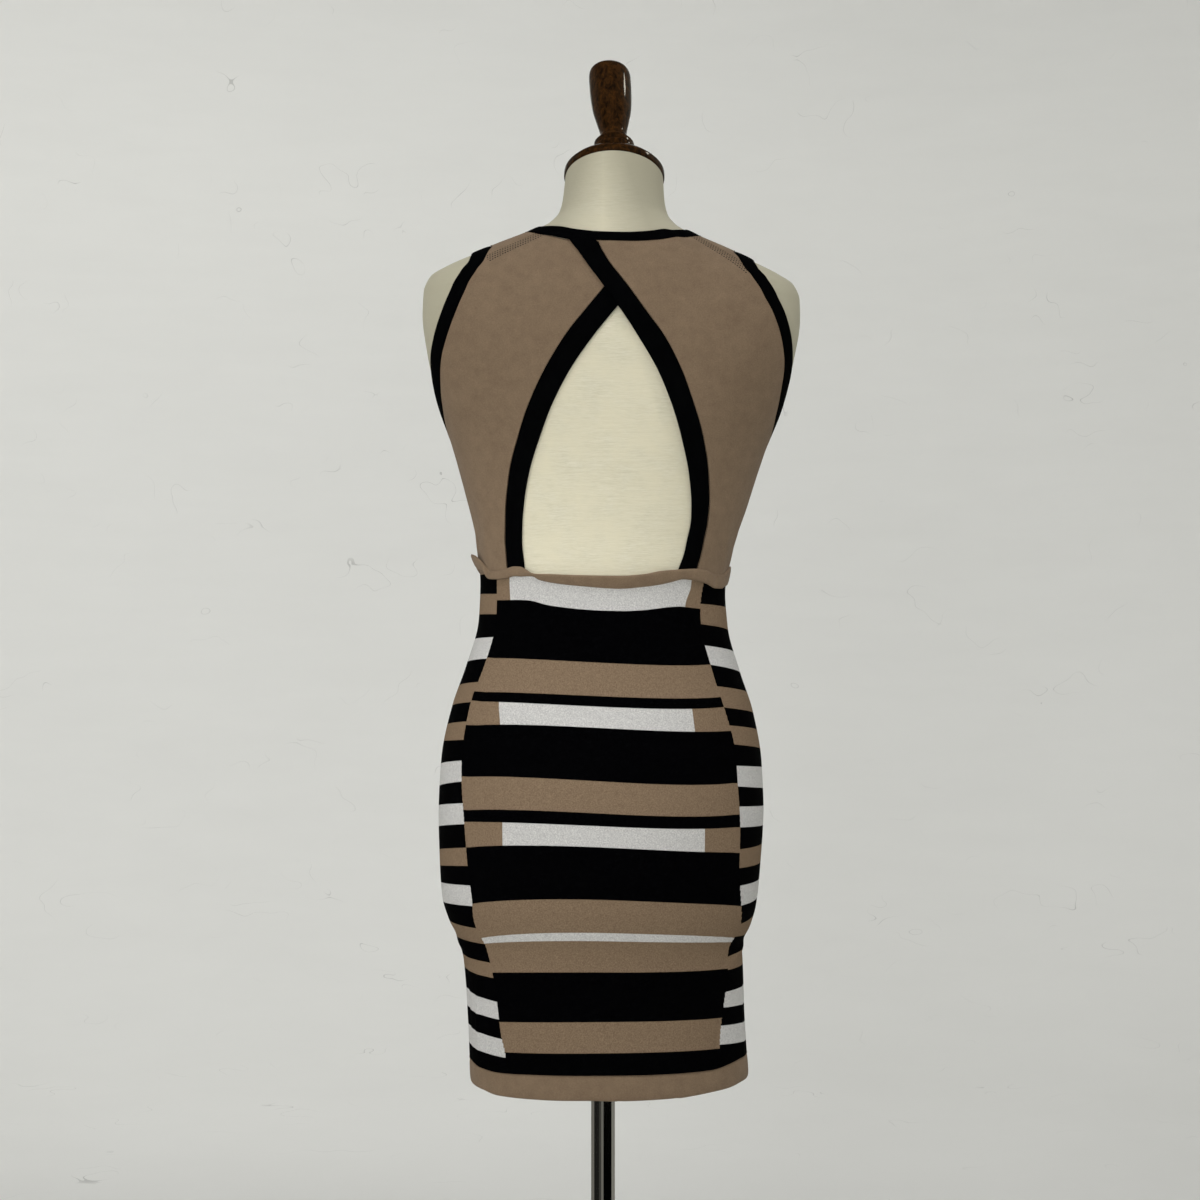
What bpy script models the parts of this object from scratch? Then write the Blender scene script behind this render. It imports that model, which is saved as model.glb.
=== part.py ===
"""Sleeveless bodycon dress with an open, wrapped back, worn by a dress form on a round stand.

Metres, +Z up. The open back of the dress faces -Y and the wearer's right hand side is +X.
The origin is on the floor, under the middle of the stand.
"""
import math
from bisect import bisect_right
from collections import namedtuple

import bmesh
import bpy
from mathutils import Matrix, Vector

MM = 0.001

# Overall sizes
HEM_HEIGHT = 0.520
HEM_BAND_TOP = 0.544
UNDERSIDE_HEIGHT = 0.672
NECK_PLATE_HEIGHT = 1.421
NECK_PLATE_SHIFT = 0.012
NECK_PLATE_TILT = 25.0
LEAN_ANGLE = 1.25          # the form leans to its right on the upright pole
LEAN_HEIGHT = 0.905

# Cloth build-up, measured outward from the form
CLOTH_REST = 1.2 * MM
KNIT_WALL = 1.5 * MM
BAND_TOP = 3.0 * MM
OVERLAP_LIFT = 2.5 * MM
WAIST_REST = 3.8 * MM
WAIST_TOP = 5.4 * MM
SEAM_GAP = 0.3 * MM
BAND_GAP = 0.4 * MM
WAIST_PARTING = 0.4 * MM   # bodice and skirt, each from the waist seam, under the waist band
SEAM_TURN = 0.1            # half a seam's gap, in degrees
SIDE_SEAM = 100.0          # degrees round from the centre back
TORSO_SIDES = 48

# Level sections of the form; below its underside the cloth hangs free
Section = namedtuple("Section", "height half_width back front squareness shift tilt sway roll")
SECTIONS = [
    Section(0.520, 0.1360, 0.0990, 0.0990, 2.2, 0, 0, 0.0150, 2.3),
    Section(0.580, 0.1353, 0.0990, 0.0985, 2.2, 0, 0, 0.0105, 1.8),
    Section(0.640, 0.1365, 0.1005, 0.0980, 2.2, 0, 0, 0.0060, 1.0),
    Section(0.660, 0.1385, 0.1030, 0.0985, 2.2, 0, 0, 0.0030, 0.6),
    Section(0.680, 0.1480, 0.1110, 0.1005, 2.2, 0, 0, 0.0016, 0.2),
    Section(0.700, 0.1538, 0.1165, 0.1020, 2.2, 0, 0, 0.0008, 0),
    Section(0.740, 0.1573, 0.1210, 0.1035, 2.2, 0, 0, 0.0006, 0),
    Section(0.790, 0.1593, 0.1220, 0.1040, 2.2, 0, 0, 0.0006, 0),
    Section(0.840, 0.1570, 0.1170, 0.1030, 2.2, 0, 0, 0, 0),
    Section(0.890, 0.1475, 0.1060, 0.1000, 2.2, 0, 0, 0, 0),
    Section(0.930, 0.1340, 0.0960, 0.0950, 2.2, 0, 0, -0.0005, 0),
    Section(0.975, 0.1217, 0.0885, 0.0900, 2.2, 0, 0, -0.0014, 0),
    Section(1.010, 0.1196, 0.0860, 0.0880, 2.2, 0, 0, -0.0025, 0),
    Section(1.050, 0.1247, 0.0865, 0.0920, 2.2, 0, 0, -0.0014, 0),
    Section(1.100, 0.1385, 0.0910, 0.1000, 2.2, 0, 0, 0, 0),
    Section(1.150, 0.1535, 0.0960, 0.1080, 2.4, 0, 0, 0, 0),
    Section(1.200, 0.1717, 0.0990, 0.1130, 2.9, 0, 0, 0, 0),
    Section(1.240, 0.1820, 0.0990, 0.1080, 3.3, 0, 0, 0, 0),
    Section(1.280, 0.1885, 0.0940, 0.0960, 3.3, 0, 0, 0, 0),
    Section(1.300, 0.1890, 0.0890, 0.0860, 3.1, 0, 0, 0, 0),
    Section(1.315, 0.1860, 0.0835, 0.0775, 3.0, 0, 0, 0, 0),
    Section(1.325, 0.1755, 0.0790, 0.0720, 2.9, 0, 0, 0, 0),
    Section(1.334, 0.1540, 0.0745, 0.0680, 2.8, 0, 0, 0, 0),
    Section(1.348, 0.1180, 0.0675, 0.0630, 2.5, 0, 0, 0, 0),
    Section(1.362, 0.0850, 0.0610, 0.0590, 2.3, 0, 0, 0, 0),
    Section(1.373, 0.0640, 0.0565, 0.0555, 2.1, 0.001, 3, 0, 0),
    Section(1.383, 0.0550, 0.0530, 0.0530, 2.0, 0.003, 9, 0, 0),
    Section(1.397, 0.0512, 0.0495, 0.0495, 2.0, 0.007, 18, 0, 0),
    Section(NECK_PLATE_HEIGHT, 0.0492, 0.0455, 0.0455, 2.0, NECK_PLATE_SHIFT, NECK_PLATE_TILT, 0, 0),
]

# Bust: two soft rises on the front
Bust = namedtuple("Bust", "across height spread rise")
BUST = Bust(0.070, 1.200, 0.060, 0.012)

# Teardrop opening: turn of each wrap's free edge and of its seam, degrees from the centre back
Opening = namedtuple("Opening", "height left_edge left_seam right_edge right_seam")
OPENING = [
    Opening(1.030, -37.6, -48.0, 35.0, 45.4),
    Opening(1.050, -38.3, -48.1, 37.0, 46.6),
    Opening(1.070, -37.2, -46.5, 37.1, 46.2),
    Opening(1.092, -34.8, -43.8, 35.3, 44.2),
    Opening(1.120, -30.6, -39.3, 31.6, 40.3),
    Opening(1.155, -24.1, -32.1, 25.7, 33.8),
    Opening(1.190, -17.7, -25.1, 19.6, 26.6),
    Opening(1.222, -11.7, -19.2, 14.1, 21.2),
    Opening(1.252, -5.2, -13.4, 8.1, 15.8),
    Opening(1.2815, 1.8, -6.6, 1.7, 8.9),
    Opening(1.301, 6.5, -2.0, -2.7, 4.5),
    Opening(1.320, 10.8, 2.4, -7.6, -0.2),
    Opening(1.334, 15.6, 5.8, -12.9, -4.3),
    Opening(1.348, 24.0, 10.5, -21.4, -9.0),
]

# Neckline from the centre back over the shoulder to the centre front
Neckline = namedtuple("Neckline", "seam_turn seam_height edge_turn edge_height")
NECKLINE = [
    Neckline(0, 1.3450, 0, 1.3550),
    Neckline(10, 1.3450, 10, 1.3553),
    Neckline(21, 1.3470, 22, 1.3572),
    Neckline(32, 1.3508, 34, 1.3602),
    Neckline(57, 1.3572, 58, 1.3640),
    Neckline(90, 1.3622, 90, 1.3686),
    Neckline(130, 1.3530, 132, 1.3585),
    Neckline(145, 1.3400, 147, 1.3450),
    Neckline(154, 1.3250, 156, 1.3300),
    Neckline(158, 1.3030, 161, 1.3100),
    Neckline(162, 1.2820, 165, 1.2900),
    Neckline(169, 1.2640, 171, 1.2750),
    Neckline(180, 1.2570, 180, 1.2680),
]
NECK_SHOULDER_ROW = 5

# Armhole, a closed loop from the shoulder seam down the back and up the front. The swing turns both
# armholes the same way, towards +X, because the dress sits a little askew
Armhole = namedtuple("Armhole", "seam_turn seam_height edge_turn edge_height swing")
ARMHOLE = [
    Armhole(90, 1.3485, 90, 1.3430, 0),
    Armhole(60, 1.3435, 60, 1.3378, 0),
    Armhole(46.5, 1.3370, 48.5, 1.3320, 0.3),
    Armhole(40.3, 1.3210, 44.7, 1.3190, 0.6),
    Armhole(42.0, 1.2980, 47.4, 1.2975, 1.0),
    Armhole(45.4, 1.2760, 51.6, 1.2755, 1.6),
    Armhole(50.1, 1.2515, 57.6, 1.2525, 1.9),
    Armhole(55.0, 1.2285, 64.8, 1.2305, 1.6),
    Armhole(61.0, 1.2050, 73.2, 1.2095, 0.8),
    Armhole(69.0, 1.1820, 83.6, 1.1885, 0.2),
    Armhole(81.5, 1.1650, 94.6, 1.1745, 0),
    Armhole(SIDE_SEAM, 1.1530, 106, 1.1690, 0),
    Armhole(118, 1.1560, 116, 1.1750, 0),
    Armhole(130, 1.1850, 125, 1.1980, 0),
    Armhole(136, 1.2250, 130, 1.2330, 0),
    Armhole(139, 1.2650, 134, 1.2690, 0),
    Armhole(139, 1.3000, 134.5, 1.3020, 0),
    Armhole(133, 1.3290, 128, 1.3275, 0),
    Armhole(116, 1.3435, 115, 1.3380, 0),
]
ARMHOLE_SIDE_ROW = 11

# Rolled waist band, from the centre back round to the centre front
Waist = namedtuple("Waist", "turn seam lower upper")
WAIST = [
    Waist(0, 1.0160, 1.0100, 1.0225),
    Waist(25, 1.0170, 1.0110, 1.0230),
    Waist(38, 1.0220, 1.0165, 1.0270),
    Waist(50, 1.0240, 1.0190, 1.0290),
    Waist(70, 1.0220, 1.0165, 1.0270),
    Waist(90, 1.0210, 1.0155, 1.0265),
    Waist(180, 1.0200, 1.0140, 1.0260),
]
Flip = namedtuple("Flip", "turn spread rise flare")
FLIPS = [Flip(-90, 9, 0.014, 0.006), Flip(88, 8, 0.010, 0.001)]

# Seams between the centre-back skirt panel and the side panels; the front is alike on both sides
SkirtSeam = namedtuple("SkirtSeam", "height left right front")
SKIRT_SEAMS = [
    SkirtSeam(0.520, 42.5, 48.5, 128),
    SkirtSeam(0.560, 44.2, 50.0, 128),
    SkirtSeam(0.580, 46.2, 51.5, 127),
    SkirtSeam(0.610, 47.5, 55.0, 127),
    SkirtSeam(0.640, 49.0, 58.6, 126),
    SkirtSeam(0.665, 49.8, 60.3, 125),
    SkirtSeam(0.683, 50.6, 62.0, 125),
    SkirtSeam(0.705, 49.4, 59.0, 125),
    SkirtSeam(0.740, 51.0, 55.3, 126),
    SkirtSeam(0.780, 52.5, 54.2, 126),
    SkirtSeam(0.820, 55.0, 53.0, 125),
    SkirtSeam(0.860, 56.8, 52.7, 125),
    SkirtSeam(0.900, 57.8, 50.3, 125),
    SkirtSeam(0.940, 55.9, 49.1, 127),
    SkirtSeam(0.980, 55.2, 48.2, 128),
    SkirtSeam(1.030, 56.2, 52.5, 127),
]

# Turned pieces: distance along the axis and radius
Turned = namedtuple("Turned", "along radius")
NECK_CAP = [
    Turned(0.0003, 0), Turned(0.0003, 0.0488), Turned(0.0020, 0.0503), Turned(0.0080, 0.0503),
    Turned(0.0100, 0.0487), Turned(0.0150, 0.0434), Turned(0.0210, 0.0347), Turned(0.0265, 0.0265),
    Turned(0.0295, 0.0225), Turned(0.0300, 0),
]
FINIAL = [
    Turned(0.0303, 0.0215), Turned(0.0320, 0.0222), Turned(0.0365, 0.0220), Turned(0.0385, 0.0205),
    Turned(0.0440, 0.0200), Turned(0.0470, 0.0175), Turned(0.0515, 0.0143), Turned(0.0560, 0.0135),
    Turned(0.0620, 0.0145), Turned(0.0710, 0.0166), Turned(0.0860, 0.0197), Turned(0.1030, 0.0211),
    Turned(0.1220, 0.0215), Turned(0.1300, 0.0209), Turned(0.1345, 0.0188), Turned(0.1368, 0.0140),
    Turned(0.1376, 0.0070),
]
FINIAL_SLANT = 4.0         # the finial stands a little askew, towards the wearer's left
POLE_RADIUS = 0.011
POLE_TOP = 0.740
BASE_RADIUS = 0.200
STAND_BASE = [
    Turned(0, 0), Turned(0, 0.198), Turned(0.002, BASE_RADIUS), Turned(0.006, BASE_RADIUS),
    Turned(0.009, 0.196), Turned(0.012, 0.060), Turned(0.015, 0.034), Turned(0.022, 0.024),
    Turned(0.050, 0.020), Turned(0.053, 0.018), Turned(0.053, POLE_RADIUS + SEAM_GAP),
    Turned(0.008, POLE_RADIUS + SEAM_GAP), Turned(0.008, 0),
]

# Rounding of the form's lower edge: height and how far it is drawn in
Rounding = namedtuple("Rounding", "height inset")
UNDERSIDE = [
    Rounding(UNDERSIDE_HEIGHT, 0.0170),
    Rounding(0.6735, 0.0100),
    Rounding(0.6770, 0.0055),
    Rounding(0.6840, 0.0025),
    Rounding(0.6960, 0.0010),
]

# Cross-section of a rolled band: share of its width, and share of its height
Roll = namedtuple("Roll", "across up")
BAND_ROLL = [Roll(0, 0), Roll(0, 0.6), Roll(0.2, 1), Roll(0.8, 1), Roll(1, 0.6), Roll(1, 0)]


def column_value(table, column, at, key="height"):
    """Smooth value of a table's column, read without overshoot between its rows."""
    keys = [getattr(row, key) for row in table]
    values = [getattr(row, column) for row in table]
    if at <= keys[0]:
        return values[0]
    if at >= keys[-1]:
        return values[-1]
    rises = [(values[i + 1] - values[i]) / (keys[i + 1] - keys[i]) for i in range(len(keys) - 1)]

    def slope(i):
        if i == 0 or i == len(keys) - 1:
            return rises[0] if i == 0 else rises[-1]
        if rises[i - 1] * rises[i] <= 0:
            return 0.0
        before, after = keys[i] - keys[i - 1], keys[i + 1] - keys[i]
        first, second = 2 * after + before, after + 2 * before
        return (first + second) / (first / rises[i - 1] + second / rises[i])

    i = bisect_right(keys, at) - 1
    span = keys[i + 1] - keys[i]
    t = (at - keys[i]) / span
    return ((1 + 2 * t) * (1 - t) ** 2 * values[i] + t * (1 - t) ** 2 * span * slope(i)
            + t * t * (3 - 2 * t) * values[i + 1] + t * t * (t - 1) * span * slope(i + 1))


def curve_value(table, column, at, closed=False):
    """Smooth value along a table's rows, where at is a row number with its fraction."""
    last = len(table) if closed else len(table) - 1
    i = min(int(math.floor(at)), last - 1)
    t = at - i

    def value(k):
        k = k % len(table) if closed else max(0, min(last, k))
        return getattr(table[k], column)

    a, b, c, d = value(i - 1), value(i), value(i + 1), value(i + 2)
    return b + 0.5 * t * (c - a + t * (2 * a - 5 * b + 4 * c - d + t * (3 * (b - c) + d - a)))


def ease(share):
    share = max(0.0, min(1.0, share))
    return share * share * (3 - 2 * share)


def bell(distance, spread):
    return math.exp(-(distance / spread) ** 2)


def lean(point):
    """Tips a point of the form and the dress sideways about the lean height."""
    angle = math.radians(LEAN_ANGLE)
    x, z = point.x, point.z - LEAN_HEIGHT
    return Vector((x * math.cos(angle) + z * math.sin(angle), point.y,
                   LEAN_HEIGHT + z * math.cos(angle) - x * math.sin(angle)))


def figure(turn, height, inset=0.0):
    """Point of the figure at a turn from the centre back, in degrees, and a height.

    The inset draws the section in evenly.
    """
    across, along = math.sin(math.radians(turn)), math.cos(math.radians(turn))
    half_width = column_value(SECTIONS, "half_width", height)
    depth = column_value(SECTIONS, "back" if along > 0 else "front", height)
    squareness = column_value(SECTIONS, "squareness", height)
    reach = (abs(across) ** squareness + abs(along) ** squareness) ** (-1 / squareness)
    x, y = half_width * across * reach, -depth * along * reach
    if along < 0:
        fade = ease(-along * 2.5)
        for side in (-1, 1):
            near = math.hypot(x - side * BUST.across, height - BUST.height)
            y += BUST.rise * bell(near, BUST.spread) * fade
    share = 1 - inset / half_width
    x, y = x * share, y * share
    z = height - y * math.tan(math.radians(column_value(SECTIONS, "tilt", height)))
    y += column_value(SECTIONS, "shift", height)
    z += x * math.tan(math.radians(column_value(SECTIONS, "roll", height)))
    x += column_value(SECTIONS, "sway", height)
    return lean(Vector((x, y, z)))


def skin(turn, height, rise=0.0):
    """Point that lies a rise outside the figure."""
    step_turn, step_height = 0.5, 0.0008
    top = min(height + step_height, NECK_PLATE_HEIGHT)
    bottom = max(height - step_height, HEM_HEIGHT)
    round_way = figure(turn + step_turn, height) - figure(turn - step_turn, height)
    up_way = figure(turn, top) - figure(turn, bottom)
    return figure(turn, height) + round_way.cross(up_way).normalized() * rise


def material(name, color, roughness, metallic=0.0):
    made = bpy.data.materials.new(name)
    made.use_nodes = True
    shader = made.node_tree.nodes["Principled BSDF"]
    shader.inputs["Base Color"].default_value = (*color, 1)
    shader.inputs["Roughness"].default_value = roughness
    shader.inputs["Metallic"].default_value = metallic
    made.diffuse_color = (*color, 1)
    return made


def add_object(name, mesh_data, surface, home):
    mesh = bpy.data.meshes.new(name)
    mesh_data.to_mesh(mesh)
    mesh_data.free()
    made = bpy.data.objects.new(name, mesh)
    if surface:
        mesh.materials.append(surface)
    home.objects.link(made)
    return made


def placed_grid(columns, rows, place, join_columns=False, join_rows=False):
    """Grid of quads whose point (column, row) is put where place(column, row) says."""
    grid = bmesh.new()
    bmesh.ops.create_grid(grid, x_segments=columns, y_segments=rows, size=0.5)
    for vertex in grid.verts:
        column = round((vertex.co.x + 0.5) * columns)
        row = round((vertex.co.y + 0.5) * rows)
        column = column % columns if join_columns else column
        row = row % rows if join_rows else row
        vertex.co = place(column, row)
    if join_columns or join_rows:
        bmesh.ops.remove_doubles(grid, verts=grid.verts, dist=1e-6)
    return grid


def close_ends(grid):
    open_edges = [edge for edge in grid.edges if edge.is_boundary]
    bmesh.ops.holes_fill(grid, edges=open_edges, sides=0)
    bmesh.ops.recalc_face_normals(grid, faces=grid.faces)


def cloth_panel(name, grids, surface, home):
    """Knit wall that grows outward from one or more joined grids."""
    whole = bmesh.new()
    for grid in grids:
        part = bpy.data.meshes.new(name)
        grid.to_mesh(part)
        grid.free()
        whole.from_mesh(part)
        bpy.data.meshes.remove(part)
    bmesh.ops.remove_doubles(whole, verts=whole.verts, dist=1e-6)
    made = add_object(name, whole, surface, home)
    wall = made.modifiers.new("wall", "SOLIDIFY")
    wall.thickness = KNIT_WALL
    wall.offset = 1
    wall.use_even_offset = True
    return made


def band(name, stations, edges, surface, home, closed=True, rest=CLOTH_REST, top=BAND_TOP, lift=None):
    """Rolled band between two edges; edges(station) gives the turn and height of both."""
    def place(station, corner):
        seam, edge = edges(stations[station])
        roll = BAND_ROLL[corner]
        turn = seam[0] + (edge[0] - seam[0]) * roll.across
        height = seam[1] + (edge[1] - seam[1]) * roll.across
        rise = rest + (top - rest) * roll.up
        return skin(turn, height, rise + (lift(turn, height) if lift else 0))

    count = len(stations) if closed else len(stations) - 1
    grid = placed_grid(count, len(BAND_ROLL), place, join_columns=closed, join_rows=True)
    close_ends(grid)
    return add_object(name, grid, surface, home)


def spread(first, last, count):
    return [first + (last - first) * i / count for i in range(count + 1)]


def between(start, end, share):
    return (start[0] + (end[0] - start[0]) * share, start[1] + (end[1] - start[1]) * share)


def parted(seam, edge):
    """Moves a band's seam side off the panel that it is sewn to."""
    radius = column_value(SECTIONS, "half_width", (seam[1] + edge[1]) / 2)
    width = math.hypot(math.radians(edge[0] - seam[0]) * radius, edge[1] - seam[1])
    return between(seam, edge, BAND_GAP / width), edge


def overlap_lift(turn, height):
    """How far the right wrap stands off where the left wrap lies under it."""
    beyond = turn - column_value(OPENING, "left_edge", height)
    return OVERLAP_LIFT * ease((height - 1.225) / 0.03) * (1 - ease((beyond - 5) / 10))


def neck_seam(at, side):
    return side * curve_value(NECKLINE, "seam_turn", at), curve_value(NECKLINE, "seam_height", at)


def neck_edge(at, side):
    return side * curve_value(NECKLINE, "edge_turn", at), curve_value(NECKLINE, "edge_height", at)


def armhole_seam(at, side):
    turn = side * curve_value(ARMHOLE, "seam_turn", at, True) + curve_value(ARMHOLE, "swing", at, True)
    return turn, curve_value(ARMHOLE, "seam_height", at, True)


def armhole_edge(at, side):
    turn = side * curve_value(ARMHOLE, "edge_turn", at, True) + curve_value(ARMHOLE, "swing", at, True)
    return turn, curve_value(ARMHOLE, "edge_height", at, True)


def waist_seam(turn):
    return column_value(WAIST, "seam", abs((turn + 180) % 360 - 180), "turn")


def outer_line(stations, side, parting):
    """Side seam from the waist up, then the armhole seam to the shoulder, short of both seams."""
    armhole = [armhole_seam(at, side) for at in stations]
    foot, shoulder = armhole[0], armhole[-1]
    armhole[0] = (foot[0] + side * parting, foot[1])
    armhole[-1] = (shoulder[0] + side * 2 * parting, shoulder[1])
    waist = waist_seam(foot[0]) + WAIST_PARTING
    return [between((armhole[0][0], waist), armhole[0], i / SIDE_ROWS) for i in range(SIDE_ROWS)] + armhole


def back_inner_line(side):
    """Opening seam of one wrap from the waist up, then the neck seam to the shoulder."""
    column = "left_seam" if side < 0 else "right_seam"
    line = [(column_value(OPENING, column, height), height) for height in OPENING_HEIGHTS]
    line[0] = (line[0][0], waist_seam(line[0][0]) + WAIST_PARTING)
    rows = SIDE_ROWS + len(BACK_ARMHOLE) - len(line)
    shoulder = side * (90 - 2 * SEAM_TURN)
    for turn in spread(line.pop()[0], shoulder, rows):
        line.append((turn, column_value(NECKLINE, "seam_height", abs(turn), "seam_turn")))
    return line


def front_inner_line(side):
    """Centre front from the waist up to the neckline, then the neck seam to the shoulder."""
    neck = [neck_seam(at, side) for at in FRONT_NECK]
    neck[-1] = (side * (90 + 2 * SEAM_TURN), neck[-1][1])
    rows = SIDE_ROWS + len(FRONT_ARMHOLE) - len(neck)
    waist = (neck[0][0], waist_seam(180) + WAIST_PARTING)
    return [between(waist, neck[0], i / rows) for i in range(rows)] + neck


def swung_grid(inner, outer, columns, lift=None):
    """Rows that swing from the waist line to the shoulder seam between two edge lines."""
    def place(column, row):
        turn, height = between(inner[row], outer[row], column / columns)
        if row == 0:
            height = waist_seam(turn) + WAIST_PARTING
        return skin(turn, height, CLOTH_REST + (lift(turn, height) if lift else 0))

    grid = placed_grid(columns, len(inner) - 1, place)
    if outer[0][0] < inner[0][0]:
        bmesh.ops.reverse_faces(grid, faces=grid.faces)
    return grid


def skirt_panel(name, start, end, columns, surface, home):
    """Skirt panel between two turns, each given as a function of height."""
    def place(column, row):
        height = SKIRT_HEIGHTS[row]
        turn = start(height) + SEAM_TURN
        turn += (end(height) - SEAM_TURN - turn) * column / columns
        if row == len(SKIRT_HEIGHTS) - 1:
            height = waist_seam(turn) - WAIST_PARTING
        return skin(turn, height, CLOTH_REST)

    return cloth_panel(name, [placed_grid(columns, len(SKIRT_HEIGHTS) - 1, place)], surface, home)


def skirt_seam(column, side=1):
    return lambda height: side * column_value(SKIRT_SEAMS, column, height)


def turned(name, profile, steps, placed, surface, home):
    """Piece turned round its own axis from a profile, then set in place."""
    line = bmesh.new()
    points = [line.verts.new((row.radius, 0, row.along)) for row in profile]
    for start, end in zip(points, points[1:]):
        line.edges.new((start, end))
    made = add_object(name, line, surface, home)
    made.matrix_world = placed
    turning = made.modifiers.new("turning", "SCREW")
    turning.steps = turning.render_steps = steps
    turning.use_merge_vertices = True
    turning.merge_threshold = 0.00001
    turning.use_normal_calculate = True
    return made


def slanted_finial(name, profile, sides, slant, placed, surface, home):
    """Turned piece whose round sections step sideways as they rise from its foot."""
    def place(column, row):
        around = 2 * math.pi * column / sides
        radius, up = profile[row].radius, profile[row].along
        aside = (profile[0].along - up) * math.tan(math.radians(slant))
        return placed @ Vector((radius * math.cos(around) + aside, radius * math.sin(around), up))

    grid = placed_grid(sides, len(profile) - 1, place, join_columns=True)
    close_ends(grid)
    return add_object(name, grid, surface, home)


def upright_cylinder(name, radius, bottom, top, sides, surface, home):
    rod = bmesh.new()
    bmesh.ops.create_cone(rod, cap_ends=True, segments=sides, radius1=radius, radius2=radius,
                          depth=top - bottom, matrix=Matrix.Translation((0, 0, (top + bottom) / 2)))
    return add_object(name, rod, surface, home)


# Stations that neighbouring pieces share, so that the gap between their edges is even
SIDE_ROWS = 5
BACK_ARMHOLE = spread(ARMHOLE_SIDE_ROW, 0, 22)
FRONT_ARMHOLE = spread(ARMHOLE_SIDE_ROW, len(ARMHOLE), 16)
OPENING_HEIGHTS = spread(1.030, 1.2815, 12) + spread(1.2815, 1.348, 4)[1:]
FRONT_NECK = spread(len(NECKLINE) - 1, NECK_SHOULDER_ROW, 11)
SKIRT_HEIGHTS = (spread(HEM_BAND_TOP + SEAM_GAP, 0.640, 4) + [0.652, 0.664, 0.676, 0.688]
                 + spread(0.700, 0.990, 11) + [1.016])


def clear_scene():
    for made in list(bpy.data.objects):
        bpy.data.objects.remove(made, do_unlink=True)
    for home in list(bpy.data.collections):
        bpy.data.collections.remove(home)


def collection(name):
    made = bpy.data.collections.new(name)
    bpy.context.scene.collection.children.link(made)
    return made


def build_form(home, cutters, linen, wood, chrome, satin):
    heights = [row.height for row in UNDERSIDE]
    heights += spread(0.714, 0.914, 6)[:-1] + spread(0.914, 1.074, 8)[:-1] + spread(1.074, 1.274, 6)[:-1]
    heights += [1.274, 1.292, 1.305, 1.315, 1.323, 1.331, 1.338, 1.345, 1.352, 1.358, 1.364, 1.370, 1.376,
                1.383, 1.392, 1.404, NECK_PLATE_HEIGHT]
    insets = [row.inset for row in UNDERSIDE]

    def place(column, row):
        inset = insets[row] if row < len(insets) else 0
        return figure(360 * column / TORSO_SIDES, heights[row], inset)

    shell = placed_grid(TORSO_SIDES, len(heights) - 1, place, join_columns=True)
    close_ends(shell)
    torso = add_object("form_torso", shell, linen, home)
    socket = upright_cylinder("socket_cutter", POLE_RADIUS + SEAM_GAP, UNDERSIDE_HEIGHT - 0.05,
                              POLE_TOP + SEAM_GAP, 32, None, cutters)
    socket.hide_render = True
    socket.display_type = "WIRE"
    cut = torso.modifiers.new("socket", "BOOLEAN")
    cut.operation = "DIFFERENCE"
    cut.solver = "EXACT"
    cut.object = socket

    pivot = Matrix.Translation((0, 0, LEAN_HEIGHT))
    neck_axis = (pivot @ Matrix.Rotation(math.radians(LEAN_ANGLE), 4, "Y") @ pivot.inverted()
                 @ Matrix.Translation((0, NECK_PLATE_SHIFT, NECK_PLATE_HEIGHT))
                 @ Matrix.Rotation(-math.radians(NECK_PLATE_TILT), 4, "X"))
    turned("form_neck_cap", NECK_CAP, 28, neck_axis, wood, home)
    slanted_finial("form_finial", FINIAL, 24, FINIAL_SLANT, neck_axis, wood, home)
    upright_cylinder("stand_pole", POLE_RADIUS, 0.008 + SEAM_GAP, POLE_TOP, 32, chrome, home)
    turned("stand_base", STAND_BASE, 40, Matrix.Identity(4), satin, home)


def build_skirt(home, taupe, striped):
    left, right = skirt_seam("left", -1), skirt_seam("right")
    front_left, front_right = skirt_seam("front", -1), skirt_seam("front")
    skirt_panel("skirt_back", left, right, 10, striped, home)
    skirt_panel("skirt_side_right", right, front_right, 8, striped, home)
    skirt_panel("skirt_side_left", front_left, left, 8, striped, home)
    skirt_panel("skirt_front", front_right, lambda height: front_left(height) + 360, 10, striped, home)
    band("hem_band", spread(-180, 180, 40)[:-1], lambda turn: ((turn, HEM_BAND_TOP), (turn, HEM_HEIGHT)),
         taupe, home)


def build_waist(home, taupe):
    fine = spread(66, 114, 10)
    half = spread(0, 60, 9) + fine + spread(121, 180, 7)
    stations = half + [-turn for turn in reversed(half[1:-1])]

    def edges(turn):
        lower = column_value(WAIST, "lower", abs(turn), "turn")
        upper = column_value(WAIST, "upper", abs(turn), "turn")
        upper += sum(flip.rise * bell(turn - flip.turn, flip.spread) for flip in FLIPS)
        return (turn, lower), (turn, upper)

    def flare(turn, height):
        middle = column_value(WAIST, "seam", abs(turn), "turn")
        out = sum(flip.flare * bell(turn - flip.turn, flip.spread) for flip in FLIPS)
        return out * ease((height - middle) / 0.018)

    band("waist_band", stations, edges, taupe, home, rest=WAIST_REST, top=WAIST_TOP, lift=flare)


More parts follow.
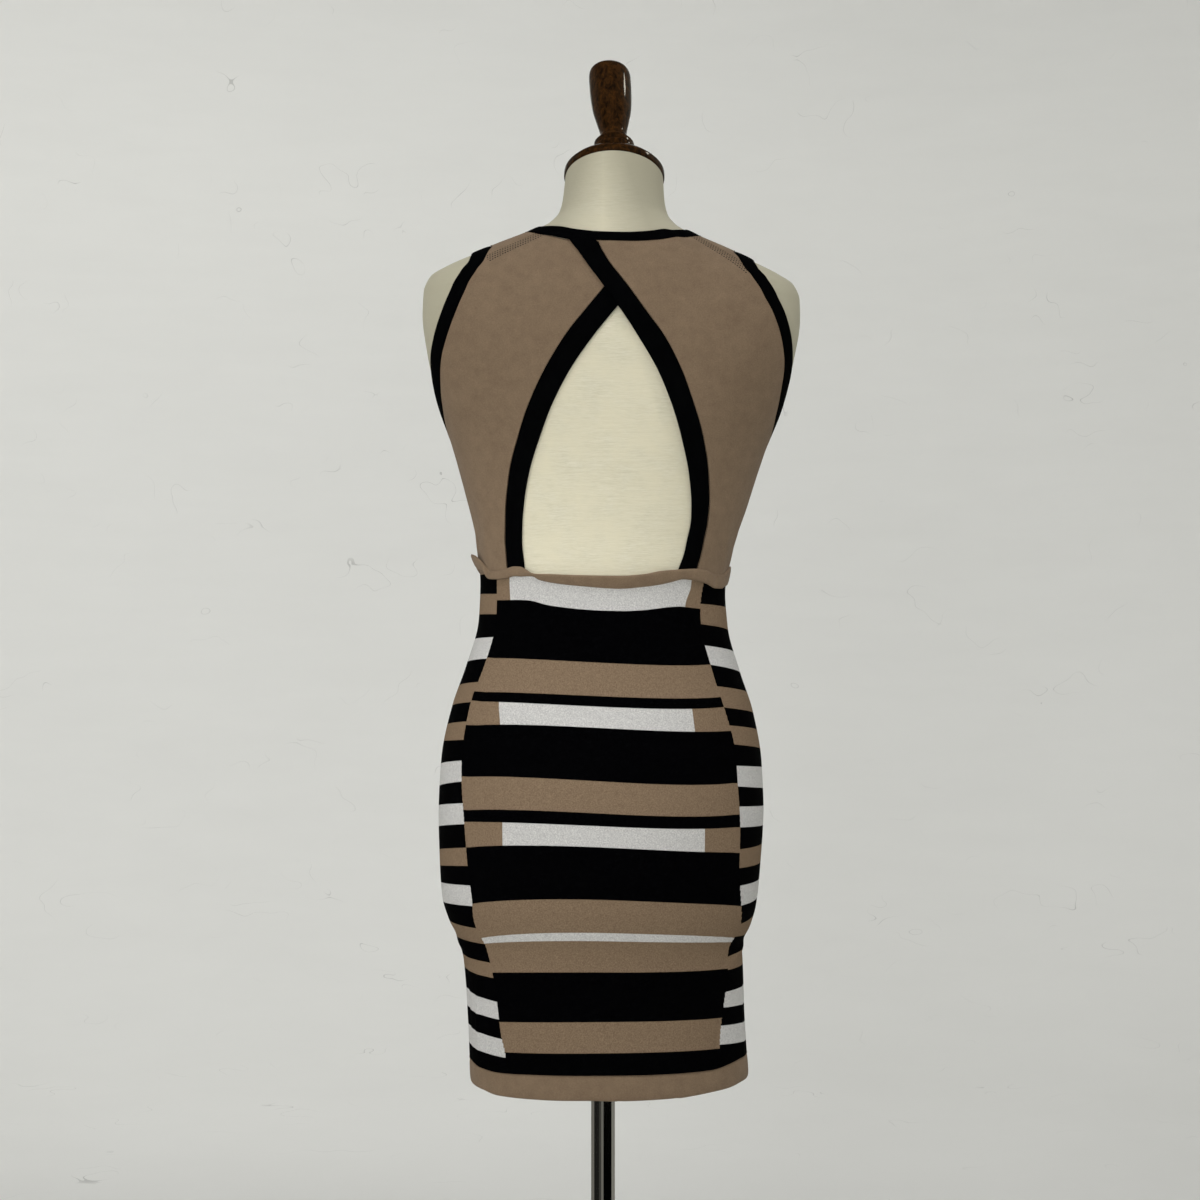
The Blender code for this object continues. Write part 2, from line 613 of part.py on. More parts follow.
def build_bodice(home, taupe, black):
    for side, name, lift in ((-1, "left", None), (1, "right", overlap_lift)):
        inner, outer = back_inner_line(side), outer_line(BACK_ARMHOLE, side, -SEAM_TURN)
        cloth_panel("bodice_back_" + name, [swung_grid(inner, outer, 6, lift)], taupe, home)

        band("armhole_band_" + name, spread(0, len(ARMHOLE), 38)[:-1],
             lambda at: parted(armhole_seam(at, side), armhole_edge(at, side)), black, home)

        def opening_edges(height):
            seam = (column_value(OPENING, name + "_seam", height), height)
            edge = (column_value(OPENING, name + "_edge", height), height)
            if height == OPENING_HEIGHTS[-1]:
                seam, edge = [(turn, column_value(NECKLINE, "seam_height", abs(turn), "seam_turn") - BAND_GAP)
                              for turn in (seam[0], edge[0])]
            return parted(seam, edge)

        band("opening_band_" + name, OPENING_HEIGHTS, opening_edges, black, home, closed=False, lift=lift)

    halves = [swung_grid(front_inner_line(side), outer_line(FRONT_ARMHOLE, side, SEAM_TURN), 8)
              for side in (-1, 1)]
    cloth_panel("bodice_front", halves, taupe, home)

    rows = len(NECKLINE) - 1
    back_stations = spread(-NECK_SHOULDER_ROW, NECK_SHOULDER_ROW, 20)
    front_stations = [at for at in FRONT_NECK if NECK_SHOULDER_ROW < at < rows]
    around = back_stations + sorted(front_stations) + [rows] + [-at for at in front_stations]

    def neck_edges(at):
        side = 1 if at >= 0 else -1
        return parted(neck_seam(abs(at), side), neck_edge(abs(at), side))

    band("neck_band", around, neck_edges, black, home, lift=overlap_lift)


def main():
    clear_scene()
    home = collection("bodycon_dress_on_dress_form")
    cutters = collection("cutters")
    cutters.hide_render = True
    taupe = material("taupe_fine_knit", (0.145, 0.107, 0.072), 0.9)
    black = material("black_fine_knit", (0.006, 0.006, 0.007), 0.9)
    striped = material("striped_fine_knit", (0.13, 0.12, 0.11), 0.9)
    linen = material("natural_linen_cover", (0.60, 0.55, 0.42), 0.9)
    wood = material("dark_lacquered_wood", (0.025, 0.011, 0.004), 0.25)
    chrome = material("chromed_steel_tube", (0.62, 0.62, 0.62), 0.08, 1.0)
    satin = material("satin_steel_base", (0.55, 0.55, 0.55), 0.25, 1.0)
    build_form(home, cutters, linen, wood, chrome, satin)
    build_skirt(home, taupe, striped)
    build_bodice(home, taupe, black)
    build_waist(home, taupe)


main()
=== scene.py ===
"""Finishes of a sleeveless bodycon dress with an open, wrapped back, worn by a dress form.

Metres, +Z up. The open back of the dress faces -Y and the wearer's right hand side is +X.
Places on the dress are a turn in degrees from the centre back and a height on the upright form.
"""
import math
from collections import namedtuple
from functools import partial

import bmesh
import bpy
import numpy as np
from mathutils import Matrix, Vector


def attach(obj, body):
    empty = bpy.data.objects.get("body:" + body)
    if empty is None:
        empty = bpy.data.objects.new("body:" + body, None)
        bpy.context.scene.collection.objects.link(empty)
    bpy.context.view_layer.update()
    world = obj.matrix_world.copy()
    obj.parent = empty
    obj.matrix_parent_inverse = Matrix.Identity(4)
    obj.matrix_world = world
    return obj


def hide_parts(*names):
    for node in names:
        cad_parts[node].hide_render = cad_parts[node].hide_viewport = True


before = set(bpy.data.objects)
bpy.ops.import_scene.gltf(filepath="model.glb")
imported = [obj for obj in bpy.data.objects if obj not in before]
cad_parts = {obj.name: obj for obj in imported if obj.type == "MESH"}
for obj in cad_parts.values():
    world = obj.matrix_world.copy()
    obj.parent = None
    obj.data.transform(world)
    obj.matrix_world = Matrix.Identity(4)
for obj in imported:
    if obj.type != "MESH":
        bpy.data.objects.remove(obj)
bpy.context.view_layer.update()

MM = 0.001

# Overall sizes, as the solids have them
HEM_HEIGHT = 0.520
HEM_BAND_TOP = 0.544
UNDERSIDE_HEIGHT = 0.672
NECK_PLATE_HEIGHT = 1.421
NECK_PLATE_SHIFT = 0.012
NECK_PLATE_TILT = 25.0
LEAN_ANGLE = 1.25
LEAN_HEIGHT = 0.905

# Cloth build-up, measured outward from the form
CLOTH_REST = 1.2 * MM
KNIT_WALL = 1.5 * MM
BAND_TOP = 3.0 * MM
SEAM_GAP = 0.05 * MM

# Turns of the side seam and of the shoulder seam
SIDE_SEAM = 100.0
SHOULDER_SEAM = 90

# Changes of the cloth's way over the form: where each sets in, and over how much it builds up
Ramp = namedtuple("Ramp", "start length")
OVERLAP_LIFT = 2.5 * MM
OVERLAP_UP = Ramp(1.225, 0.03)
OVERLAP_BEYOND_EDGE = Ramp(5, 10)
NECK_OVERLAP_ROUND = Ramp(-60, 35)
SHOULDER_PULL = 1.0 * MM
SHOULDER_PULL_UP = Ramp(1.325, 0.012)
SHOULDER_PULL_ASIDE = Ramp(0.75, 0.2)      # of the sine of the turn
HEM_WAVE_UP = Ramp(HEM_BAND_TOP, 0.03)

# Where the tables' numbers come from: most places in SECTIONS, OPENING, NECKLINE, ARMHOLE, EYELET_STRIPS,
# WAIST, WAIST_ROLL, SKIRT_SEAMS, HEM_LINE and the stripe tables were read off the photo, turned into turns
# and heights on this figure by scratch programs, and then rounded or shifted by hand. They aren't sizes
# chosen one by one, and a changed figure needs them worked out again.

# Level sections of the form; below its underside the cloth hangs free
Section = namedtuple("Section", "height half_width back front squareness shift tilt sway roll")
SECTIONS = [
    Section(0.520, 0.1360, 0.0990, 0.0990, 2.2, 0, 0, 0.0150, 2.3),
    Section(0.580, 0.1353, 0.0990, 0.0985, 2.2, 0, 0, 0.0105, 1.8),
    Section(0.640, 0.1365, 0.1005, 0.0980, 2.2, 0, 0, 0.0060, 1.0),
    Section(0.660, 0.1385, 0.1030, 0.0985, 2.2, 0, 0, 0.0030, 0.6),
    Section(0.680, 0.1480, 0.1110, 0.1005, 2.2, 0, 0, 0.0016, 0.2),
    Section(0.700, 0.1538, 0.1165, 0.1020, 2.2, 0, 0, 0.0008, 0),
    Section(0.740, 0.1573, 0.1210, 0.1035, 2.2, 0, 0, 0.0006, 0),
    Section(0.790, 0.1593, 0.1220, 0.1040, 2.2, 0, 0, 0.0006, 0),
    Section(0.840, 0.1570, 0.1170, 0.1030, 2.2, 0, 0, 0, 0),
    Section(0.890, 0.1475, 0.1060, 0.1000, 2.2, 0, 0, 0, 0),
    Section(0.930, 0.1340, 0.0960, 0.0950, 2.2, 0, 0, -0.0005, 0),
    Section(0.975, 0.1217, 0.0885, 0.0900, 2.2, 0, 0, -0.0014, 0),
    Section(1.010, 0.1196, 0.0860, 0.0880, 2.2, 0, 0, -0.0025, 0),
    Section(1.050, 0.1247, 0.0865, 0.0920, 2.2, 0, 0, -0.0014, 0),
    Section(1.100, 0.1385, 0.0910, 0.1000, 2.2, 0, 0, 0, 0),
    Section(1.150, 0.1535, 0.0960, 0.1080, 2.4, 0, 0, 0, 0),
    Section(1.200, 0.1717, 0.0990, 0.1130, 2.9, 0, 0, 0, 0),
    Section(1.240, 0.1820, 0.0990, 0.1080, 3.3, 0, 0, 0, 0),
    Section(1.280, 0.1875, 0.0940, 0.0960, 3.3, 0, 0, 0, 0),
    Section(1.300, 0.1870, 0.0890, 0.0860, 3.1, 0, 0, 0, -0.1),
    Section(1.315, 0.1812, 0.0835, 0.0775, 3.0, 0, 0, 0, -0.1),
    Section(1.325, 0.1665, 0.0790, 0.0720, 2.9, 0, 0, 0, -0.1),
    Section(1.334, 0.1485, 0.0745, 0.0680, 2.8, 0, 0, 0, -0.1),
    Section(1.348, 0.1180, 0.0675, 0.0630, 2.5, 0, 0, 0, 0),
    Section(1.362, 0.0850, 0.0610, 0.0590, 2.3, 0, 0, 0, 0),
    Section(1.373, 0.0640, 0.0565, 0.0555, 2.1, 0.001, 3, 0, 0),
    Section(1.383, 0.0550, 0.0530, 0.0530, 2.0, 0.003, 9, 0, 0),
    Section(1.397, 0.0512, 0.0495, 0.0495, 2.0, 0.007, 18, 0, 0),
    Section(NECK_PLATE_HEIGHT, 0.0492, 0.0455, 0.0455, 2.0, NECK_PLATE_SHIFT, NECK_PLATE_TILT, 0, 0),
]

# Bust: two soft rises on the front
Bust = namedtuple("Bust", "across height spread rise")
BUST = Bust(0.070, 1.200, 0.060, 0.012)

# Teardrop opening: turn of each wrap's free edge and of its seam. The two edges cross at one height
Opening = namedtuple("Opening", "height left_edge left_seam right_edge right_seam")
OPENING = [
    Opening(1.030, -37.6, -48.0, 35.0, 45.4),
    Opening(1.050, -38.3, -48.1, 37.0, 46.6),
    Opening(1.070, -37.2, -46.5, 37.1, 46.2),
    Opening(1.092, -34.8, -43.8, 35.3, 44.2),
    Opening(1.120, -30.6, -39.3, 31.6, 40.3),
    Opening(1.155, -24.1, -32.1, 25.7, 33.8),
    Opening(1.190, -17.7, -25.1, 19.6, 26.6),
    Opening(1.222, -11.7, -19.2, 14.1, 21.2),
    Opening(1.252, -5.2, -13.4, 8.1, 15.8),
    Opening(1.2815, 1.8, -6.6, 1.7, 8.9),
    Opening(1.301, 6.5, -2.0, -2.7, 4.5),
    Opening(1.320, 10.8, 2.4, -7.6, -0.2),
    Opening(1.334, 15.6, 5.8, -12.6, -3.7),
    Opening(1.348, 24.0, 10.5, -20.5, -7.5),
]

OPENING_FOOT = 1.022
OPENING_CROSSING = 1.2815
OPENING_TOP = 1.348

# Neckline from the centre back over the shoulder to the centre front
Neckline = namedtuple("Neckline", "seam_turn seam_height edge_turn edge_height")
NECKLINE = [
    Neckline(0, 1.3450, 0, 1.3550),
    Neckline(10, 1.3450, 10, 1.3553),
    Neckline(21, 1.3470, 22, 1.3572),
    Neckline(32, 1.3508, 34, 1.3602),
    Neckline(57, 1.3572, 58, 1.3640),
    Neckline(90, 1.3622, 90, 1.3686),
    Neckline(130, 1.3530, 132, 1.3585),
    Neckline(145, 1.3400, 147, 1.3450),
    Neckline(154, 1.3250, 156, 1.3300),
    Neckline(158, 1.3030, 161, 1.3100),
    Neckline(162, 1.2820, 165, 1.2900),
    Neckline(169, 1.2640, 171, 1.2750),
    Neckline(180, 1.2570, 180, 1.2680),
]
NECK_SHOULDER_ROW = 5

# Armhole, a closed loop from the shoulder seam down the back and up the front. The swing turns both
# armholes the same way, towards +X, because the dress sits a little askew
Armhole = namedtuple("Armhole", "seam_turn seam_height edge_turn edge_height swing")
ARMHOLE = [
    Armhole(90, 1.3485, 90, 1.3392, 0),
    Armhole(60, 1.3430, 67, 1.3362, 0),
    Armhole(49.5, 1.3360, 54, 1.3302, 0.3),
    Armhole(41.3, 1.3205, 47.0, 1.3185, 0.6),
    Armhole(42.4, 1.2980, 48.1, 1.2975, 1.0),
    Armhole(45.4, 1.2760, 51.6, 1.2755, 1.6),
    Armhole(50.1, 1.2515, 57.6, 1.2525, 1.9),
    Armhole(55.0, 1.2285, 64.8, 1.2305, 1.6),
    Armhole(61.0, 1.2050, 73.2, 1.2095, 0.8),
    Armhole(69.0, 1.1820, 83.6, 1.1885, 0.2),
    Armhole(81.5, 1.1650, 94.6, 1.1745, 0),
    Armhole(SIDE_SEAM, 1.1530, 106, 1.1690, 0),
    Armhole(118, 1.1560, 116, 1.1750, 0),
    Armhole(130, 1.1850, 125, 1.1980, 0),
    Armhole(136, 1.2250, 130, 1.2330, 0),
    Armhole(139, 1.2650, 134, 1.2690, 0),
    Armhole(139, 1.3000, 134.5, 1.3020, 0),
    Armhole(133, 1.3290, 128, 1.3275, 0),
    Armhole(116, 1.3435, 115, 1.3375, 0),
]
ARMHOLE_SIDE_ROW = 11

# Rows of eyelets below the shoulder seams: the lower end at the armhole and the upper end at the neck
EyeletStrip = namedtuple("EyeletStrip", "outer_turn outer_height inner_turn inner_height")
EYELET_STRIPS = {
    "left": EyeletStrip(-38.6, 1.3224, -35.9, 1.3426),
    "right": EyeletStrip(39.8, 1.3164, 41.5, 1.3470),
}
EYELET_PITCH = 2.8 * MM
EYELET_ROWS = 4
EYELET_REACH = 0.110
UP_THE_SHOULDER = (0, 1, 0.35)     # rough way from the back up to the shoulder seam

# Waist seam under the rolled band
Waist = namedtuple("Waist", "turn seam")
WAIST = [Waist(0, 1.0160), Waist(25, 1.0170), Waist(38, 1.0220), Waist(50, 1.0240), Waist(70, 1.0220),
         Waist(90, 1.0210), Waist(180, 1.0200)]

# Rolled waist band: its two edges and how far each stands off the form
WaistRoll = namedtuple("WaistRoll", "turn lower upper lower_out upper_out")
WAIST_ROLL = [
    WaistRoll(-180, 1.0140, 1.0260, 0.0052, 0.0052),
    WaistRoll(-130, 1.0150, 1.0265, 0.0054, 0.0050),
    WaistRoll(-110, 1.0175, 1.0280, 0.0058, 0.0054),
    WaistRoll(-100, 1.0230, 1.0350, 0.0064, 0.0076),
    WaistRoll(-92, 1.0285, 1.0415, 0.0070, 0.0104),
    WaistRoll(-85, 1.0285, 1.0430, 0.0066, 0.0112),
    WaistRoll(-78, 1.0260, 1.0415, 0.0060, 0.0094),
    WaistRoll(-72, 1.0248, 1.0375, 0.0058, 0.0074),
    WaistRoll(-67, 1.0228, 1.0315, 0.0060, 0.0058),
    WaistRoll(-64, 1.0183, 1.0275, 0.0064, 0.0048),
    WaistRoll(-61, 1.0171, 1.0255, 0.0066, 0.0046),
    WaistRoll(-54, 1.0169, 1.0260, 0.0068, 0.0046),
    WaistRoll(-47, 1.0184, 1.0283, 0.0066, 0.0048),
    WaistRoll(-43, 1.0202, 1.0300, 0.0062, 0.0052),
    WaistRoll(-39, 1.0200, 1.0296, 0.0058, 0.0058),
    WaistRoll(-35.5, 1.0204, 1.0266, 0.0056, 0.0066),
    WaistRoll(-33, 1.0203, 1.0238, 0.0052, 0.0074),
    WaistRoll(-30, 1.0172, 1.0230, 0.0046, 0.0080),
    WaistRoll(-22, 1.0139, 1.0229, 0.0043, 0.0084),
    WaistRoll(-11, 1.0118, 1.0225, 0.0042, 0.0086),
    WaistRoll(7, 1.0099, 1.0228, 0.0042, 0.0086),
    WaistRoll(17, 1.0118, 1.0246, 0.0042, 0.0084),
    WaistRoll(26, 1.0148, 1.0286, 0.0044, 0.0076),
    WaistRoll(32, 1.0178, 1.0300, 0.0048, 0.0066),
    WaistRoll(38, 1.0208, 1.0309, 0.0054, 0.0058),
    WaistRoll(44, 1.0200, 1.0316, 0.0062, 0.0050),
    WaistRoll(52, 1.0172, 1.0305, 0.0066, 0.0048),
    WaistRoll(60, 1.0128, 1.0267, 0.0068, 0.0050),
    WaistRoll(67, 1.0127, 1.0270, 0.0066, 0.0052),
    WaistRoll(74, 1.0152, 1.0300, 0.0060, 0.0052),
    WaistRoll(80, 1.0165, 1.0345, 0.0056, 0.0054),
    WaistRoll(86, 1.0165, 1.0362, 0.0054, 0.0058),
    WaistRoll(93, 1.0160, 1.0325, 0.0054, 0.0056),
    WaistRoll(101, 1.0155, 1.0280, 0.0054, 0.0050),
    WaistRoll(130, 1.0148, 1.0262, 0.0054, 0.0050),
    WaistRoll(180, 1.0140, 1.0260, 0.0052, 0.0052),
]

# Sharp creases across the waist roll: turn, width in degrees and depth
WaistCrease = namedtuple("WaistCrease", "turn width depth")
WAIST_CREASES = [
    WaistCrease(-63.2, 0.9, 0.0012),
    WaistCrease(-40.2, 0.6, 0.0005),
    WaistCrease(38.6, 0.5, 0.0006),
    WaistCrease(59.4, 0.7, 0.0012),
    WaistCrease(-104, 1.2, 0.0010),
    WaistCrease(128, 1.0, 0.0008),
]
WAIST_ROLL_THICKNESS = 2.2 * MM

# Changes of pattern between the centre-back skirt panel and the side panels
SkirtSeam = namedtuple("SkirtSeam", "height left right front")
SKIRT_SEAMS = [
    SkirtSeam(0.520, 42.5, 48.5, 128),
    SkirtSeam(0.560, 44.2, 50.0, 128),
    SkirtSeam(0.580, 46.2, 51.5, 127),
    SkirtSeam(0.610, 47.5, 55.0, 127),
    SkirtSeam(0.640, 49.0, 58.6, 126),
    SkirtSeam(0.665, 49.8, 60.3, 125),
    SkirtSeam(0.683, 50.6, 62.0, 125),
    SkirtSeam(0.705, 49.4, 59.0, 125),
    SkirtSeam(0.740, 51.0, 55.3, 126),
    SkirtSeam(0.780, 52.5, 54.2, 126),
    SkirtSeam(0.820, 55.0, 53.0, 125),
    SkirtSeam(0.860, 56.8, 52.7, 125),
    SkirtSeam(0.900, 57.8, 50.3, 125),
    SkirtSeam(0.940, 55.9, 49.1, 127),
    SkirtSeam(0.980, 55.2, 48.2, 128),
    SkirtSeam(1.030, 56.2, 52.5, 127),
]

# Stripes of the centre panels from the waist down: yarn, and the height of the lower edge at the left
# seam, in the middle and at the right seam; a skew lifts it left of the middle and drops it on the right.
# A block is white between its ends and taupe beside them.
Stripe = namedtuple("Stripe", "yarn left middle right skew")
CENTRE_STRIPES = [
    Stripe("block", 0.9966, 0.9880, 0.9920, 0),
    Stripe("black", 0.9394, 0.9382, 0.9380, 0.0012),
    Stripe("taupe", 0.9060, 0.9060, 0.9062, 0.0010),
    Stripe("black", 0.8972, 0.8962, 0.8970, 0.0011),
    Stripe("block", 0.8734, 0.8755, 0.8732, 0.0015),
    Stripe("black", 0.8248, 0.8261, 0.8242, 0.0018),
    Stripe("taupe", 0.7917, 0.7950, 0.7929, 0.0015),
    Stripe("black", 0.7824, 0.7849, 0.7827, 0.0012),
    Stripe("block", 0.7568, 0.7641, 0.7574, 0.0011),
    Stripe("black", 0.7020, 0.7140, 0.7063, 0.0004),
    Stripe("taupe", 0.6706, 0.6829, 0.6756, 0),
    Stripe("white", 0.6652, 0.6747, 0.6700, 0),
    Stripe("taupe", 0.6360, 0.6419, 0.6394, 0),
    Stripe("black", 0.5888, 0.5938, 0.5905, 0),
    Stripe("taupe", 0.5612, 0.5648, 0.5613, 0),
    Stripe("black", 0.5400, 0.5400, 0.5400, 0),
]
# Lower edge of the first block, which the waist pulls up beside the middle of the back
EdgeLine = namedtuple("EdgeLine", "turn height")
FIRST_EDGE = [
    EdgeLine(-55, 0.9966), EdgeLine(-38, 0.9973), EdgeLine(-34, 0.9969), EdgeLine(-29, 0.9946),
    EdgeLine(-24, 0.9925), EdgeLine(-10, 0.9895), EdgeLine(0, 0.9886), EdgeLine(8, 0.9886),
    EdgeLine(17, 0.9896), EdgeLine(24, 0.9914), EdgeLine(31, 0.9936), EdgeLine(37, 0.9943),
    EdgeLine(42, 0.9933), EdgeLine(50, 0.9920),
]
BlockEnds = namedtuple("BlockEnds", "height left right")
BLOCK_ENDS = [
    BlockEnds(0.760, 34.5, 37.1),
    BlockEnds(0.784, 34.6, 36.7),
    BlockEnds(0.874, 38.5, 34.3),
    BlockEnds(0.898, 41.3, 34.3),
    BlockEnds(0.996, 45.5, 39.5),
    BlockEnds(1.012, 46.3, 42.9),
]

# Stripes of the side panels: the lower edge's height at the back seam and at the side, left and right
SideStripe = namedtuple("SideStripe", "yarn left_seam left_side right_seam right_side")
SIDE_STRIPES = [
    SideStripe("black", 1.0028, 1.0023, 0.9972, 0.9939),
    SideStripe("taupe", 0.9828, 0.9819, 0.9773, 0.9709),
    SideStripe("black", 0.9590, 0.9555, 0.9555, 0.9482),
    SideStripe("white", 0.9374, 0.9322, 0.9365, 0.9271),
    SideStripe("black", 0.9153, 0.9095, 0.9167, 0.9089),
    SideStripe("taupe", 0.8961, 0.8899, 0.8966, 0.8889),
    SideStripe("black", 0.8759, 0.8696, 0.8782, 0.8713),
    SideStripe("taupe", 0.8580, 0.8530, 0.8597, 0.8523),
    SideStripe("black", 0.8383, 0.8302, 0.8394, 0.8345),
    SideStripe("white", 0.8194, 0.8092, 0.8206, 0.8141),
    SideStripe("black", 0.7985, 0.7901, 0.8012, 0.7973),
    SideStripe("white", 0.7789, 0.7692, 0.7812, 0.7782),
    SideStripe("black", 0.7572, 0.7472, 0.7608, 0.7615),
    SideStripe("taupe", 0.7389, 0.7307, 0.7415, 0.7417),
    SideStripe("black", 0.7195, 0.7140, 0.7237, 0.7249),
    SideStripe("white", 0.6996, 0.6950, 0.7036, 0.7064),
    SideStripe("black", 0.6781, 0.6785, 0.6848, 0.6905),
    SideStripe("taupe", 0.6634, 0.6632, 0.6721, 0.6680),
    SideStripe("black", 0.6455, 0.6468, 0.6497, 0.6563),
    SideStripe("taupe", 0.6309, 0.6340, 0.6370, 0.6362),
    SideStripe("black", 0.6102, 0.6166, 0.6170, 0.6174),
    SideStripe("white", 0.5922, 0.5968, 0.6007, 0.5961),
    SideStripe("black", 0.5740, 0.5800, 0.5833, 0.5779),
    SideStripe("white", 0.5563, 0.5614, 0.5647, 0.5582),
    SideStripe("black", 0.5400, 0.5400, 0.5400, 0.5400),
]
STRIPE_SIDE_TURN = 86
STRIPES_TOP = 1.030
STRIPES_TOP_AT_SEAMS = STRIPES_TOP + 0.004
CENTRE_PANEL_TURN = 50.0

# Hem band: how far its seam and its edge lie above their mean level, round the dress
HemLine = namedtuple("HemLine", "turn seam edge")
HEM_LINE = [
    HemLine(-180, 0, 0), HemLine(-100, 0.0022, 0.0028), HemLine(-80, 0.0024, 0.0031),
    HemLine(-62, -0.0007, 0.0022), HemLine(-50, -0.0019, -0.0002), HemLine(-28, -0.0004, -0.0002),
    HemLine(-8, 0, 0), HemLine(8, -0.0003, -0.0014), HemLine(25, -0.0009, -0.0013),
    HemLine(35, -0.0013, -0.0002), HemLine(45, -0.0016, 0.0009), HemLine(55, 0.0006, 0.0015),
    HemLine(68, 0.0028, 0.0033), HemLine(100, 0.0024, 0.0029), HemLine(180, 0, 0),
]

# Soft folds: middle of each, the way it runs from level, its length and width, and how far it stands up
Fold = namedtuple("Fold", "turn height runs length width rise")
FOLDS = [
    Fold(17, 1.3395, -1, 0.050, 0.0030, 0.0010),
    Fold(14, 1.3300, -28, 0.045, 0.0045, 0.0007),
    Fold(9, 1.3120, -38, 0.035, 0.0045, 0.0006),
    Fold(-11, 1.2980, -40, 0.030, 0.0040, 0.0007),
    Fold(-16, 1.3060, -35, 0.030, 0.0040, -0.0006),
    Fold(-62, 1.0650, 66, 0.060, 0.0070, 0.0008),
    Fold(-73, 1.0780, 72, 0.075, 0.0080, -0.0007),
    Fold(-82, 1.0520, 60, 0.045, 0.0060, 0.0010),
    Fold(66, 1.0560, -68, 0.050, 0.0070, 0.0008),
    Fold(80, 1.0620, -62, 0.055, 0.0070, 0.0011),
    Fold(88, 1.0480, -40, 0.040, 0.0050, -0.0008),
    Fold(118, 1.0600, -58, 0.060, 0.0070, 0.0010),
    Fold(-122, 1.0560, 60, 0.055, 0.0070, 0.0010),
    Fold(-112, 1.1350, 30, 0.060, 0.0090, 0.0014),
    Fold(113, 1.1300, -32, 0.065, 0.0090, 0.0013),
    Fold(76, 0.6560, 14, 0.060, 0.0055, 0.0022),
    Fold(-80, 0.6600, -10, 0.055, 0.0060, 0.0018),
    Fold(60, 0.6480, 20, 0.040, 0.0050, -0.0014),
    Fold(-63, 0.5900, 84, 0.080, 0.0045, 0.0016),
    Fold(-76, 0.5980, 88, 0.085, 0.0050, -0.0014),
    Fold(73, 0.5860, 86, 0.075, 0.0055, 0.0013),
    Fold(49, 0.5740, 78, 0.040, 0.0035, -0.0014),
    Fold(120, 0.5920, 84, 0.090, 0.0080, 0.0020),
    Fold(150, 0.6050, 92, 0.100, 0.0100, 0.0018),
    Fold(-140, 0.6000, 88, 0.095, 0.0090, 0.0020),
    Fold(168, 0.6560, 4, 0.090, 0.0070, 0.0015),
    Fold(-155, 0.6520, -6, 0.080, 0.0070, 0.0014),
    Fold(-16, 0.5235, 8, 0.040, 0.0035, 0.0010),
    Fold(-9, 0.5285, 12, 0.030, 0.0035, -0.0008),
    Fold(22, 0.5250, -6, 0.035, 0.0040, 0.0008),
    Fold(-35, 0.5300, 20, 0.030, 0.0040, 0.0008),
]

FOLD_RADIUS = 0.9          # mean radius where the folds lie, as a share of the half width
FOLD_BOW = 0.12            # how far a fold's ends bend up, as a share of its length

# Turned pieces: distance along the axis and radius
Turned = namedtuple("Turned", "along radius")
NECK_CAP = [
    Turned(0.0003, 0.0488), Turned(0.0020, 0.0503), Turned(0.0050, 0.0506), Turned(0.0080, 0.0503),
    Turned(0.0100, 0.0487), Turned(0.0150, 0.0434), Turned(0.0210, 0.0347), Turned(0.0265, 0.0265),
    Turned(0.0295, 0.0225), Turned(0.0300, 0.0120),
]
FINIAL = [
    Turned(0.0303, 0.0215), Turned(0.0320, 0.0222), Turned(0.0345, 0.0224), Turned(0.0365, 0.0220),
    Turned(0.0385, 0.0205), Turned(0.0415, 0.0204), Turned(0.0440, 0.0200), Turned(0.0470, 0.0175),
    Turned(0.0515, 0.0143), Turned(0.0560, 0.0135), Turned(0.0620, 0.0145), Turned(0.0710, 0.0166),
    Turned(0.0860, 0.0197), Turned(0.1030, 0.0211), Turned(0.1220, 0.0215), Turned(0.1300, 0.0209),
    Turned(0.1345, 0.0188), Turned(0.1368, 0.0140), Turned(0.1376, 0.0070), Turned(0.1377, 0.0015),
]
FINIAL_SLANT = 4.0
Groove = namedtuple("Groove", "along depth width")
FINIAL_GROOVES = [
    Groove(0.0378, 0.0009, 0.0007), Groove(0.0455, 0.0008, 0.0007), Groove(0.0500, 0.0005, 0.0006),
]
CAP_GROOVES = [Groove(0.0092, 0.0005, 0.0006), Groove(0.0262, 0.0006, 0.0007)]
POLE_RADIUS = 0.0122
POLE_TOP = 0.740
POLE_FOOT = 0.0083
POLE_CHAMFER = 0.0004
POLE_CLEARANCE = 0.0003
BORE_DEPTH = 0.03
BASE_RADIUS = 0.200
STAND_BASE = [
    Turned(0, 0.198), Turned(0.0006, 0.1994), Turned(0.002, BASE_RADIUS), Turned(0.006, BASE_RADIUS),
    Turned(0.0080, 0.1988), Turned(0.009, 0.196), Turned(0.0100, 0.150), Turned(0.0110, 0.105),
    Turned(0.012, 0.060), Turned(0.0130, 0.044), Turned(0.015, 0.034), Turned(0.0185, 0.0275),
    Turned(0.022, 0.024), Turned(0.035, 0.0214), Turned(0.049, 0.020), Turned(0.0520, 0.0192),
    Turned(0.053, 0.018), Turned(0.053, POLE_RADIUS + POLE_CLEARANCE),
    Turned(0.008, POLE_RADIUS + POLE_CLEARANCE),
]

# Rows of the form's cover lie closer together above this height
SHOULDER_HEIGHT = 1.290

# Rounding of the form's lower edge: height and how far it is drawn in
Rounding = namedtuple("Rounding", "height inset")
UNDERSIDE = [
    Rounding(UNDERSIDE_HEIGHT, 0.0170),
    Rounding(0.6735, 0.0100),
    Rounding(0.6770, 0.0055),
    Rounding(0.6840, 0.0025),
    Rounding(0.6960, 0.0010),
]

# Knit gauge: a stitch is one wale wide and one course high
WALE = 1.0 * MM
COURSE = 0.8 * MM
COURSES_START = 1.0        # the height that the bodice's courses are counted from
PATH_POINTS = 25           # points along a line whose length is measured on the figure
